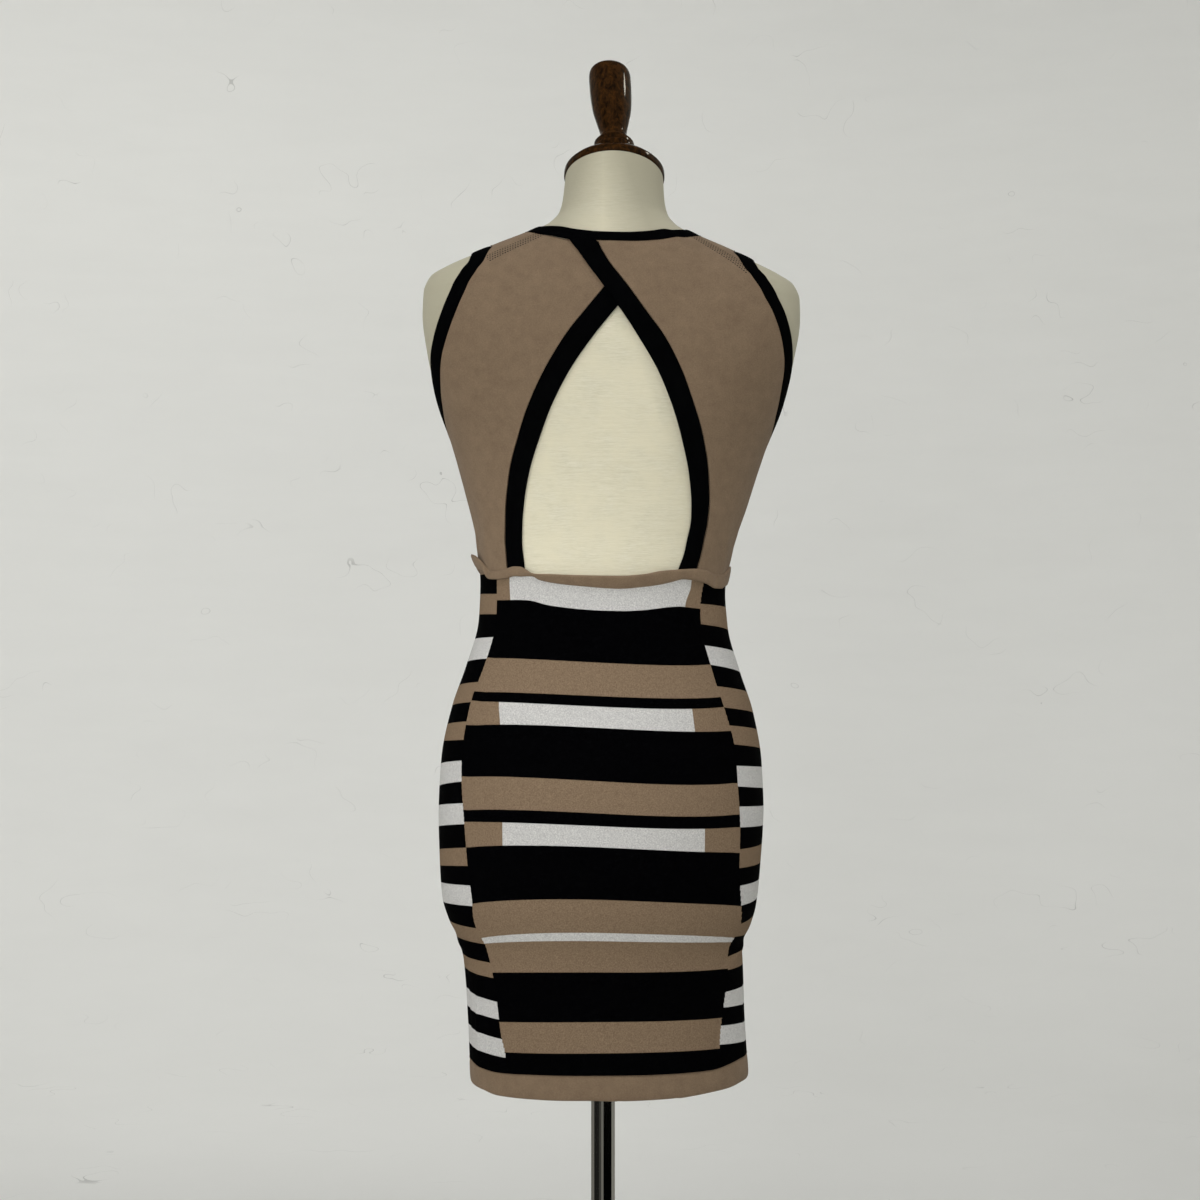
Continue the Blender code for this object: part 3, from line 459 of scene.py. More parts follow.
# Linking stitches: distance from one to the next, and the smallest and largest across and along
STITCH_PITCH = 1.9 * MM
STITCH_SMALLEST = (0.55 * MM, 0.55 * MM, 1.35 * MM)
STITCH_LARGEST = (0.65 * MM, 0.65 * MM, 1.60 * MM)
# Heights between which the opening, the side seams and the shoulder seams are linked
OPENING_LINKED = (1.031, 1.343)
SIDE_LINKED = (1.038, 1.150)
SHOULDER_LINKED = (1.350, 1.361)
STEP_HEIGHT = 5 * MM       # a slanting change of pattern is knitted in steps this high

# How finely the surfaces are divided, against the solids
FINE = 4
# Edges sharper than these are drawn as edges, on cloth and on turned or padded pieces
SHARP_CLOTH = math.radians(48)
SHARP_TURNED = math.radians(40)


def column_value(table, column, at, key="height"):
    """Smooth values of a table's column, read without overshoot between its rows."""
    keys = np.array([getattr(row, key) for row in table], float)
    values = np.array([getattr(row, column) for row in table], float)
    spans = np.diff(keys)
    rises = np.diff(values) / spans
    slopes = np.zeros(len(keys))
    slopes[0], slopes[-1] = rises[0], rises[-1]
    first, second = 2 * spans[1:] + spans[:-1], spans[1:] + 2 * spans[:-1]
    same_way = rises[:-1] * rises[1:] > 0
    before, after = np.where(same_way, rises[:-1], 1), np.where(same_way, rises[1:], 1)
    slopes[1:-1] = np.where(same_way, (first + second) / (first / before + second / after), 0)
    at = np.clip(at, keys[0], keys[-1])
    i = np.clip(np.searchsorted(keys, at, "right") - 1, 0, len(keys) - 2)
    t = (at - keys[i]) / spans[i]
    return ((1 + 2 * t) * (1 - t) ** 2 * values[i] + t * (1 - t) ** 2 * spans[i] * slopes[i]
            + t * t * (3 - 2 * t) * values[i + 1] + t * t * (t - 1) * spans[i] * slopes[i + 1])


def curve_value(table, column, at, closed=False):
    """Smooth values along a table's rows, where at is a row number with its fraction."""
    values = np.array([getattr(row, column) for row in table], float)
    last = len(table) if closed else len(table) - 1
    i = np.minimum(np.floor(at).astype(int), last - 1)
    t = at - i

    def value(k):
        return values[k % len(table)] if closed else values[np.clip(k, 0, last)]

    a, b, c, d = value(i - 1), value(i), value(i + 1), value(i + 2)
    return b + 0.5 * t * (c - a + t * (2 * a - 5 * b + 4 * c - d + t * (3 * (b - c) + d - a)))


def ease(share):
    """Share from 0 to 1 that sets off and arrives gently."""
    share = np.clip(share, 0, 1)
    return share * share * (3 - 2 * share)


def built_up(value, ramp):
    """Share of a change that has built up at a value."""
    return ease((value - ramp.start) / ramp.length)


def bell(distance, width):
    """Bell curve: 1 in the middle, and about a third of it a width away."""
    return np.exp(-(distance / width) ** 2)


def figure(turn, height, inset=0.0):
    """Points of the figure at turns from the centre back and heights; an inset draws them in."""
    turn, height = np.broadcast_arrays(np.asarray(turn, float), np.asarray(height, float))
    across, along = np.sin(np.radians(turn)), np.cos(np.radians(turn))
    half_width = column_value(SECTIONS, "half_width", height)
    depth = np.where(along > 0, column_value(SECTIONS, "back", height),
                     column_value(SECTIONS, "front", height))
    squareness = column_value(SECTIONS, "squareness", height)
    reach = (np.abs(across) ** squareness + np.abs(along) ** squareness) ** (-1 / squareness)
    x, y = half_width * across * reach, -depth * along * reach
    fade = ease(-along * 2.5)
    for side in (-1, 1):
        near = np.hypot(x - side * BUST.across, height - BUST.height)
        y = y + BUST.rise * bell(near, BUST.spread) * fade
    share = 1 - inset / half_width
    x, y = x * share, y * share
    z = height - y * np.tan(np.radians(column_value(SECTIONS, "tilt", height)))
    y = y + column_value(SECTIONS, "shift", height)
    z = z + x * np.tan(np.radians(column_value(SECTIONS, "roll", height)))
    x = x + column_value(SECTIONS, "sway", height)
    lean, z = math.radians(LEAN_ANGLE), z - LEAN_HEIGHT
    return np.stack([x * math.cos(lean) + z * math.sin(lean), y,
                     LEAN_HEIGHT + z * math.cos(lean) - x * math.sin(lean)], -1)


def skin(turn, height, rise=0.0):
    """Points that lie a rise outside the figure."""
    step_turn, step_height = 0.5, 0.0008
    round_way = figure(turn + step_turn, height) - figure(turn - step_turn, height)
    up_way = (figure(turn, np.minimum(height + step_height, NECK_PLATE_HEIGHT))
              - figure(turn, np.maximum(height - step_height, HEM_HEIGHT)))
    normal = np.cross(round_way, up_way)
    normal /= np.linalg.norm(normal, axis=-1, keepdims=True)
    return figure(turn, height) + normal * np.asarray(rise)[..., None]


def distance_round(turn, height):
    """Length of the figure's surface from the centre back, at the same height."""
    path = figure(turn[..., None] * np.linspace(0, 1, PATH_POINTS), height[..., None])
    length = np.linalg.norm(np.diff(path, axis=-2), axis=-1).sum(-1)
    return length * np.sign(turn)


def distance_up(turn, height):
    """Length of the figure's surface from a waist height, at the same turn."""
    above = height - COURSES_START
    path = figure(turn[..., None], COURSES_START + above[..., None] * np.linspace(0, 1, PATH_POINTS))
    length = np.linalg.norm(np.diff(path, axis=-2), axis=-1).sum(-1)
    return length * np.sign(above)


def folds(turn, height):
    """How far the soft folds lift the cloth, which is pulled down close over the shoulders."""
    aside = np.abs(np.sin(np.radians(turn)))
    over_shoulder = built_up(height, SHOULDER_PULL_UP) * built_up(aside, SHOULDER_PULL_ASIDE)
    rise = -SHOULDER_PULL * over_shoulder * np.ones(np.broadcast(turn, height).shape)
    for fold in FOLDS:
        around = np.radians((turn - fold.turn + 180) % 360 - 180)
        across = around * FOLD_RADIUS * column_value(SECTIONS, "half_width", np.array([fold.height]))
        up = height - fold.height
        runs = math.radians(fold.runs)
        along = across * math.cos(runs) + up * math.sin(runs)
        beside = up * math.cos(runs) - across * math.sin(runs)
        beside = beside + FOLD_BOW * fold.length * (along / fold.length) ** 2
        rise += fold.rise * bell(along, fold.length / 2) * bell(beside, fold.width)
    return rise


def spread(first, last, steps):
    """Even values from the first to the last, both of them included."""
    return np.linspace(first, last, steps + 1)


def between(start, end, share):
    """Value at a share of the way from start to end."""
    return start + (end - start) * share


def overlap_lift(turn, height):
    """How far the right wrap stands off where the left wrap lies under it."""
    beyond = turn - column_value(OPENING, "left_edge", height)
    return OVERLAP_LIFT * built_up(height, OVERLAP_UP) * (1 - built_up(beyond, OVERLAP_BEYOND_EDGE))


def neck_lift(turn, height):
    """How far the neck band stands off: only the right wrap's part of it lies on the left wrap."""
    return overlap_lift(turn, height) * built_up(turn, NECK_OVERLAP_ROUND) + folds(turn, height)


def no_lift(turn, height):
    """Lift of cloth that lies straight on the form."""
    return np.zeros(np.broadcast(turn, height).shape)


def neck_line(part, at, side):
    """Turn and height of the neck's seam or edge at a place among its rows, left (-1) or right (1)."""
    turn = side * curve_value(NECKLINE, part + "_turn", at)
    return turn, curve_value(NECKLINE, part + "_height", at)


def armhole_line(part, at, side):
    """Turn and height of an armhole's seam or edge at a place among its rows, left (-1) or right (1)."""
    swing = curve_value(ARMHOLE, "swing", at, closed=True)
    turn = side * curve_value(ARMHOLE, part + "_turn", at, closed=True) + swing
    return turn, curve_value(ARMHOLE, part + "_height", at, closed=True)


def neck_seam_height(turn):
    """Height of the neck seam at a turn on the back or over a shoulder."""
    return column_value(NECKLINE, "seam_height", np.abs(turn), "seam_turn")


def hem_line(column, turn):
    """How far the hem's seam or edge lies above its mean level at a turn."""
    return column_value(HEM_LINE, column, (turn + 180) % 360 - 180, "turn")


def waist_seam(turn):
    """Height of the waist seam at a turn."""
    return column_value(WAIST, "seam", np.abs((turn + 180) % 360 - 180), "turn")


# Meshes

def quads_over(numbers):
    """Quads between the neighbours of a table of point numbers."""
    return np.stack([numbers[:-1, :-1], numbers[:-1, 1:], numbers[1:, 1:], numbers[1:, :-1]],
                    -1).reshape(-1, 4)


def make_mesh(name, points, faces, corner_values=None):
    """Mesh of points and faces; a face is a list of (point number, number in the corner values).

    Corner values are UV maps for the stitches and the eyelets, and plain attributes otherwise.
    """
    mesh = bpy.data.meshes.new(name)
    mesh.from_pydata(points.reshape(-1, 3).tolist(), [], [[point for point, _ in face] for face in faces])
    if corner_values:
        picked = np.array([number for face in faces for _, number in face])
        for label, values in corner_values.items():
            if label in ("stitches", "eyelets"):
                layer = mesh.uv_layers.new(name=label)
                layer.uv.foreach_set("vector", values.reshape(-1, 2)[picked].astype(np.float32).ravel())
            else:
                layer = mesh.attributes.new(label, "FLOAT", "CORNER")
                layer.data.foreach_set("value", values.reshape(-1)[picked].astype(np.float32))
    mesh.validate()
    mesh.shade_smooth()
    mesh.set_sharp_from_angle(angle=SHARP_CLOTH)
    return mesh


def paired(points, corners=None):
    """Faces for make_mesh from rows of point numbers and of their numbers in the corner values."""
    corners = points if corners is None else corners
    return [list(zip(point, corner)) for point, corner in zip(points.tolist(), corners.tolist())]


def shell_mesh(name, inner, outer, corner_values):
    """Closed wall between two tables of points [row, column]; its inner points follow the outer ones."""
    rows, columns = outer.shape[:2]
    count = rows * columns
    numbers = np.arange(count).reshape(rows, columns)
    quads = quads_over(numbers)
    faces = paired(quads) + paired(quads[:, ::-1] + count, quads[:, ::-1])
    for line in (numbers[0], numbers[-1, ::-1], numbers[::-1, 0], numbers[:, -1]):
        strip = np.stack([line[1:], line[:-1], line[:-1] + count, line[1:] + count], -1)
        picked = np.stack([line[1:], line[:-1], line[:-1], line[1:]], -1)
        faces += paired(strip, picked)
    points = np.concatenate([outer.reshape(-1, 3), inner.reshape(-1, 3)])
    return make_mesh(name, points, faces, corner_values)


def ring_mesh(name, points, corner_values=None, closed=True):
    """Tube of rings [station, place round]; it joins into a loop, or its two ends are closed."""
    stations, places = points.shape[:2]
    corner = np.arange((stations + closed) * (places + 1)).reshape(stations + closed, places + 1)
    owner = np.arange(stations * places).reshape(stations, places)
    if closed:
        owner = np.concatenate([owner, owner[:1]], 0)
    owner = np.concatenate([owner, owner[:, :1]], 1)
    faces = paired(quads_over(owner), quads_over(corner))
    if not closed:
        faces.append(list(zip(owner[0, :-1][::-1].tolist(), corner[0, :-1][::-1].tolist())))
        faces.append(list(zip(owner[-1, :-1].tolist(), corner[-1, :-1].tolist())))
    return make_mesh(name, points, faces, corner_values)


def outward(mesh):
    """Turns a closed mesh's faces outward."""
    work = bmesh.new()
    work.from_mesh(mesh)
    bmesh.ops.recalc_face_normals(work, faces=work.faces)
    work.to_mesh(mesh)
    work.free()
    return mesh


def merged(meshes):
    """One closed mesh from neighbours that share a line, without the walls between them."""
    work = bmesh.new()
    for mesh in meshes:
        work.from_mesh(mesh)
    bmesh.ops.remove_doubles(work, verts=work.verts, dist=1e-6)
    inner = [face for face in work.faces if sum(len(edge.link_faces) > 2 for edge in face.edges) > 1]
    bmesh.ops.delete(work, geom=inner, context="FACES")
    bmesh.ops.recalc_face_normals(work, faces=work.faces)
    whole = meshes[0].copy()
    work.to_mesh(whole)
    work.free()
    return whole


def add_piece(name, mesh, material, node):
    """Piece in the scene that rides on the part's one body and stands for a solid."""
    piece = bpy.data.objects.new(name, mesh)
    bpy.context.scene.collection.objects.link(piece)
    mesh.materials.append(material)
    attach(piece, "root")
    if node:
        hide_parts(node)
    return piece


# Dress

def stitch_places(turn, height):
    """Distances round and up the figure, which a panel's stitches are laid out by."""
    return np.stack([distance_round(turn, height), distance_up(turn, height)], -1)


def knit_shell(name, turn, height, lift, corner_values):
    """Knit wall over tables of turns and heights."""
    rise = CLOTH_REST + lift(turn, height) + folds(turn, height)
    inner, outer = skin(turn, height, rise), skin(turn, height, rise + KNIT_WALL)
    return shell_mesh(name, inner, outer, corner_values)


def outer_line(stations, side):
    """Side seam from the waist up, then the armhole seam to the shoulder."""
    turn, height = armhole_line("seam", stations, side)
    turn[-1] = side * SHOULDER_SEAM
    waist = waist_seam(turn[0])
    shares = np.arange(SIDE_ROWS) / SIDE_ROWS
    return (np.concatenate([np.full(SIDE_ROWS, turn[0]), turn]),
            np.concatenate([between(waist, height[0], shares), height]))


def back_inner_line(side):
    """Opening seam of one wrap from the waist up, then the neck seam to the shoulder."""
    column = "left_seam" if side < 0 else "right_seam"
    turn, height = column_value(OPENING, column, OPENING_HEIGHTS), OPENING_HEIGHTS.copy()
    height[0] = waist_seam(turn[0])
    rows = SIDE_ROWS + len(BACK_ARMHOLE) - len(turn)
    neck = spread(turn[-1], side * SHOULDER_SEAM, rows)
    return np.concatenate([turn[:-1], neck]), np.concatenate([height[:-1], neck_seam_height(neck)])


def front_inner_line(side):
    """Centre front from the waist up to the neckline, then the neck seam to the shoulder."""
    turn, height = neck_line("seam", FRONT_NECK, side)
    rows = SIDE_ROWS + len(FRONT_ARMHOLE) - len(turn)
    shares = np.arange(rows) / rows
    return (np.concatenate([np.full(rows, turn[0]), turn]),
            np.concatenate([between(waist_seam(turn[0]), height[0], shares), height]))


def swung_places(inner, outer, columns):
    """Turns and heights of rows that swing from the waist line to the shoulder seam."""
    share = np.linspace(0, 1, columns + 1)
    turn = between(inner[0][:, None], outer[0][:, None], share)
    height = between(inner[1][:, None], outer[1][:, None], share)
    height[0] = waist_seam(turn[0])
    return turn, height


def eyelet_places(points, strip):
    """Distances along an eyelet strip and up from its lower edge, towards the shoulder."""
    ends = skin(np.array([strip.outer_turn, strip.inner_turn]),
                np.array([strip.outer_height, strip.inner_height]), CLOTH_REST + KNIT_WALL)
    along = (ends[1] - ends[0]) / np.linalg.norm(ends[1] - ends[0])
    above = np.array(UP_THE_SHOULDER)
    above = above - along * (above @ along)
    above = above / np.linalg.norm(above)
    return np.stack([(points - ends[0]) @ along, (points - ends[0]) @ above], -1)


def band_mesh(name, seam, edge, lift, closed=True):
    """Rolled band between its seam and its free edge, each a line of turns and heights."""
    across, up = BAND_ROLL
    seam, edge = parted(seam, edge)
    turn = between(seam[0][:, None], edge[0][:, None], across)
    height = between(seam[1][:, None], edge[1][:, None], across)
    points = skin(turn, height, CLOTH_REST + (BAND_TOP - CLOTH_REST) * up + lift(turn, height))
    return ring_mesh(name, points, {"stitches": ring_places(points, closed)}, closed)


def ring_places(points, closed):
    """Distances along a band and round its section, for its stitches."""
    looped = np.concatenate([points, points[:, :1]], 1)
    if closed:
        looped = np.concatenate([looped, looped[:1]], 0)
    along = np.linalg.norm(np.diff(looped.mean(1), axis=0), axis=-1)
    along = np.concatenate([[0], np.cumsum(along)])
    section = np.linalg.norm(np.diff(looped, axis=1), axis=-1).mean(0)
    section = np.concatenate([[0], np.cumsum(section)])
    return np.stack(np.broadcast_arrays(section[None, :], along[:, None]), -1)


def parted(seam, edge):
    """Moves a band's seam side just off the panel that it is linked to."""
    radius = column_value(SECTIONS, "half_width", (seam[1] + edge[1]) / 2)
    width = np.hypot(np.radians(edge[0] - seam[0]) * radius, edge[1] - seam[1])
    share = SEAM_GAP / width
    return (between(seam[0], edge[0], share), between(seam[1], edge[1], share)), edge


def arch(places, power=3.0):
    """Section of a rolled band: a squared arch over a flat inner side, as (across, up)."""
    angle = np.linspace(0, math.pi, places)
    across = 0.5 - 0.5 * np.sign(np.cos(angle)) * np.abs(np.cos(angle)) ** (2 / power)
    up = np.abs(np.sin(angle)) ** (2 / power)
    flat = np.linspace(1, 0, 5)[1:-1]
    return np.concatenate([across, flat]), np.concatenate([up, np.zeros(3)])


BAND_ROLL = arch(13)
SIDE_ROWS = 5 * FINE
BACK_ARMHOLE = spread(ARMHOLE_SIDE_ROW, 0, 22 * FINE)
FRONT_ARMHOLE = spread(ARMHOLE_SIDE_ROW, len(ARMHOLE), 16 * FINE)
OPENING_HEIGHTS = np.concatenate([spread(OPENING[0].height, OPENING_CROSSING, 12 * FINE),
                                  spread(OPENING_CROSSING, OPENING_TOP, 4 * FINE)[1:]])
FRONT_NECK = spread(len(NECKLINE) - 1, NECK_SHOULDER_ROW, 11 * FINE)
WRAPS = ((-1, "left", no_lift), (1, "right", overlap_lift))


def build_bodice(taupe, eyelets, black):
    """Two wraps at the back, a front in one piece, and their black bindings."""
    for side, name, lift in WRAPS:
        turn, height = swung_places(back_inner_line(side), outer_line(BACK_ARMHOLE, side), 9 * FINE)
        # Columns run towards +X on both wraps, so that the faces point outwards
        if side < 0:
            turn, height = turn[:, ::-1], height[:, ::-1]
        node = "bodice_back_" + name
        face = skin(turn, height, CLOTH_REST + KNIT_WALL)
        values = {"stitches": stitch_places(turn, height),
                  "eyelets": eyelet_places(face, EYELET_STRIPS[name])}
        mesh = knit_shell(node, turn, height, lift, values)
        panel = add_piece("back_wrap_" + name, mesh, eyelets, node)

    halves = []
    for side in (-1, 1):
        turn, height = swung_places(front_inner_line(side), outer_line(FRONT_ARMHOLE, side), 14 * FINE)
        turn = turn % 360      # so that the two halves meet at a turn of 180
        values = {"stitches": stitch_places(turn, height)}
        halves.append(knit_shell("bodice_front", turn, height, no_lift, values))
    panel = add_piece("front_bodice", merged(halves), taupe, "bodice_front")
    build_bodice_bands(black)


def build_bodice_bands(black):
    """Bindings of the armholes, of the teardrop opening and of the neck."""
    for side, name, lift in WRAPS:
        build_armhole_binding(side, name, black)
        build_opening_binding(name, lift, black)
    build_neck_binding(black)


def build_armhole_binding(side, name, black):
    """Binding all round one armhole."""
    at = spread(0, len(ARMHOLE), 57 * FINE)[:-1]
    if side > 0:
        at = at[::-1]
    seam, edge = armhole_line("seam", at, side), armhole_line("edge", at, side)
    mesh = outward(band_mesh("armhole", seam, edge, folds))
    band = add_piece("armhole_binding_" + name, mesh, black, "armhole_band_" + name)


def build_opening_binding(name, lift, black):
    """Binding of one wrap's free edge, from under the waist roll up to the neck."""
    height = np.concatenate([spread(OPENING_FOOT, OPENING_CROSSING, 24 * FINE),
                             spread(OPENING_CROSSING, OPENING_TOP, 8 * FINE)[1:]])
    seam = [column_value(OPENING, name + "_seam", height), height.copy()]
    edge = [column_value(OPENING, name + "_edge", height), height.copy()]
    for line in (seam, edge):
        line[1][-1] = neck_seam_height(line[0][-1:])[0] - SEAM_GAP
    mesh = outward(band_mesh("opening", seam, edge, lift, closed=False))
    band = add_piece("opening_binding_" + name, mesh, black, "opening_band_" + name)


def build_neck_binding(black):
    """Binding all round the neck, from the centre back over the right shoulder first."""
    half = spread(0, len(NECKLINE) - 1, 40 * FINE)
    at = np.concatenate([half, -half[1:-1][::-1]])
    side = np.where(at >= 0, 1, -1)
    seam, edge = neck_line("seam", np.abs(at), side), neck_line("edge", np.abs(at), side)
    mesh = outward(band_mesh("neck", seam, edge, neck_lift))
    band = add_piece("neck_binding", mesh, black, "neck_band")


# Skirt

SKIRT_TOP = 1.016
SKIRT_FITTED_FROM = 0.98       # above this height the rows close up to the waist seam
SLANT_STEP = 0.004             # height over which the slant of a seam is measured
SKIRT_MEAN_RADIUS = 0.85       # share of the half width


def level_of(height, edges, levels):
    """Place of each height among edges that run down [place, edge], read off the same edges' levels."""
    edges = np.broadcast_to(edges, height.shape + edges.shape[-1:])
    below = np.clip((edges > height[..., None]).sum(-1), 1, edges.shape[-1] - 1)
    upper = np.take_along_axis(edges, below[..., None] - 1, -1)[..., 0]
    lower = np.take_along_axis(edges, below[..., None], -1)[..., 0]
    share = (upper - height) / (upper - lower)
    return between(levels[below - 1], levels[below], share)


def panel_seam(height, left, back):
    """Turn from the middle of the back, or of the front, to the seam on each place's side."""
    seams = np.where(left, column_value(SKIRT_SEAMS, "left", height),
                     column_value(SKIRT_SEAMS, "right", height))
    return np.where(back, seams, 180 - column_value(SKIRT_SEAMS, "front", height))


def centre_course(turn, height, left, back, from_middle):
    """Height of each place on the centre panels, read at the middle of its stripe."""
    tops = np.array([STRIPES_TOP] + [stripe.middle for stripe in CENTRE_STRIPES])
    bow = (from_middle / CENTRE_PANEL_TURN)[..., None] ** 2
    at_left = np.array([STRIPES_TOP_AT_SEAMS] + [stripe.left for stripe in CENTRE_STRIPES])
    at_right = np.array([STRIPES_TOP_AT_SEAMS] + [stripe.right for stripe in CENTRE_STRIPES])
    at_front = (at_left + at_right) / 2
    at_end = np.where((left & back)[..., None], at_left, np.where(back[..., None], at_right, at_front))
    skew = np.array([0] + [stripe.skew for stripe in CENTRE_STRIPES])
    # The skew is full half-way from the middle to a seam, and nothing at the middle and the seams
    aside = np.clip(turn / CENTRE_PANEL_TURN, -1, 1)
    half_way = 0.5 * (1 - 0.5 ** 2)
    wave = np.where(back, aside * (aside ** 2 - 1) / half_way, 0)[..., None]
    edges = tops + (at_end - tops) * bow + skew * wave
    edges[..., 1] = np.where(back, column_value(FIRST_EDGE, "height", turn, "turn"), edges[..., 1])
    return level_of(height, edges, tops)


def side_course(turn, height, left, back, seam):
    """Height of each place on the side panels, read as a mean of the two sides' stripes."""
    sides = [[STRIPES_TOP] + [getattr(stripe, column) for stripe in SIDE_STRIPES]
             for column in ("left_seam", "left_side", "right_seam", "right_side")]
    left_seam, left_side, right_seam, right_side = np.array(sides)
    at_seam = np.where(left[..., None], left_seam, right_seam)
    at_side = np.where(left[..., None], left_side, right_side)
    share = np.where(back, (np.abs(turn) - seam) / (STRIPE_SIDE_TURN - seam), 1)
    edges = between(at_seam, at_side, np.clip(share, 0, 1)[..., None])
    return level_of(height, edges, (left_seam + right_seam) / 2)


def skirt_values(turn, height):
    """Where each place lies in the striped pattern."""
    turn = (turn + 180) % 360 - 180
    left, back = turn < 0, np.abs(turn) < 90
    from_middle = np.where(back, np.abs(turn), 180 - np.abs(turn))
    radius = column_value(SECTIONS, "half_width", height) * SKIRT_MEAN_RADIUS
    seam = panel_seam(height, left, back)
    higher = np.where(back, panel_seam(height + SLANT_STEP, left, back), seam)
    ends = np.where(left, column_value(BLOCK_ENDS, "left", height),
                    column_value(BLOCK_ENDS, "right", height))
    centre = centre_course(turn, height, left, back, from_middle)
    return {
        "stitches": np.stack([distance_round(turn, height), centre], -1),
        "centre_course": centre,
        "side_course": side_course(turn, height, left, back, seam),
        "beyond_seam": np.radians(from_middle - seam) * radius,
        "seam_slant": np.radians(higher - seam) * radius / SLANT_STEP,
        "inside_block": np.radians(ends - from_middle) * radius,
    }


SKIRT_HEIGHTS = np.concatenate([spread(HEM_BAND_TOP + SEAM_GAP, 0.640, 8 * FINE),
                                spread(0.640, 0.700, 7 * FINE)[1:],
                                spread(0.700, SKIRT_TOP, 22 * FINE)[1:]])


def skirt_panel(node, piece_name, start, end, columns, width, striped):
    """Skirt panel between two lines of turns."""
    share = np.linspace(0, 1, columns + 1)
    turn = between(start(SKIRT_HEIGHTS)[:, None], end(SKIRT_HEIGHTS)[:, None], share)
    height = np.repeat(SKIRT_HEIGHTS[:, None], columns + 1, 1)
    above, room = height - SKIRT_FITTED_FROM, waist_seam(turn) - SKIRT_FITTED_FROM
    fitted = SKIRT_FITTED_FROM + above * room / (SKIRT_TOP - SKIRT_FITTED_FROM)
    height = np.where(above > 0, fitted, height)
    height = height + hem_line("seam", turn) * (1 - built_up(height, HEM_WAVE_UP))
    mesh = knit_shell(node, turn, height, no_lift, skirt_values(turn, height))
    panel = add_piece(piece_name, mesh, striped, node)


def build_skirt(striped, taupe):
    """Four striped panels round the form, and the plain hem binding."""
    def seam(column, side=1, add=0):
        return lambda height: side * column_value(SKIRT_SEAMS, column, height) + add

    centre, beside = (18 * FINE, 0.250, striped), (12 * FINE, 0.140, striped)
    skirt_panel("skirt_back", "skirt_centre_back", seam("left", -1), seam("right"), *centre)
    skirt_panel("skirt_side_right", "skirt_right_side", seam("right"), seam("front"), *beside)
    skirt_panel("skirt_front", "skirt_centre_front", seam("front"), seam("front", -1, 360), *centre)
    skirt_panel("skirt_side_left", "skirt_left_side", seam("front", -1), seam("left", -1), *beside)

    turn = spread(-180, 180, 72 * FINE)[:-1]
    seam_line = (turn, HEM_BAND_TOP + hem_line("seam", turn))
    edge_line = (turn, HEM_HEIGHT + hem_line("edge", turn))
    mesh = outward(band_mesh("hem", seam_line, edge_line, folds))
    band = add_piece("hem_binding", mesh, taupe, "hem_band")


def build_waist_band(taupe):
    """Band that rolls over the waist seam, flipped up at each side."""
    turn = spread(-180, 180, 90 * FINE)[:-1]
    across, up = arch(15, 2.6)
    columns = {column: column_value(WAIST_ROLL, column, turn, "turn")[:, None]
               for column in WaistRoll._fields[1:]}
    height = between(columns["lower"], columns["upper"], across)
    out = between(columns["lower_out"], columns["upper_out"], across)
    rise = out - WAIST_ROLL_THICKNESS * (1 - up)
    for crease in WAIST_CREASES:
        rise = rise - crease.depth * up * bell(turn - crease.turn, crease.width)[:, None]
    points = skin(np.repeat(turn[:, None], len(across), 1), height, rise)
    mesh = outward(ring_mesh("waist", points, {"stitches": ring_places(points, True)}))
    band = add_piece("waist_roll", mesh, taupe, "waist_band")


# Sewing

def stitch_tree():
    """Geometry nodes that set one small round stitch after another along a path."""
    tree = bpy.data.node_groups.new("linking_stitches", "GeometryNodeTree")
    add = partial(add_node, tree)
    for name, kind in (("Geometry", "Geometry"), ("Pitch", "Float"), ("Smallest", "Vector"),
                       ("Largest", "Vector"), ("Seed", "Int"), ("Thread", "Material")):
        tree.interface.new_socket(name, in_out="INPUT", socket_type="NodeSocket" + kind)
    tree.interface.new_socket("Geometry", in_out="OUTPUT", socket_type="NodeSocketGeometry")
    given = add("NodeGroupInput").outputs
    path = add("GeometryNodeMeshToCurve", {"Mesh": given["Geometry"]}).outputs["Curve"]
    places = add("GeometryNodeCurveToPoints", {"Curve": path, "Length": given["Pitch"]}, mode="LENGTH")
    # The sphere is one unit across, so that its scale is the stitch's size
    stitch = add("GeometryNodeMeshUVSphere", {"Segments": 6, "Rings": 4, "Radius": 0.5})
    size = add("FunctionNodeRandomValue", {0: given["Smallest"], 1: given["Largest"],
                                           "Seed": given["Seed"]}, data_type="FLOAT_VECTOR")
    placed = add("GeometryNodeInstanceOnPoints", {
        "Points": places.outputs["Points"], "Instance": stitch.outputs["Mesh"],
        "Rotation": places.outputs["Rotation"], "Scale": size.outputs[0]})
    real = add("GeometryNodeRealizeInstances", {"Geometry": placed.outputs["Instances"]})
    threaded = add("GeometryNodeSetMaterial", {"Geometry": real.outputs["Geometry"],
                                               "Material": given["Thread"]})
    add("NodeGroupOutput", {"Geometry": threaded.outputs["Geometry"]})
    return tree


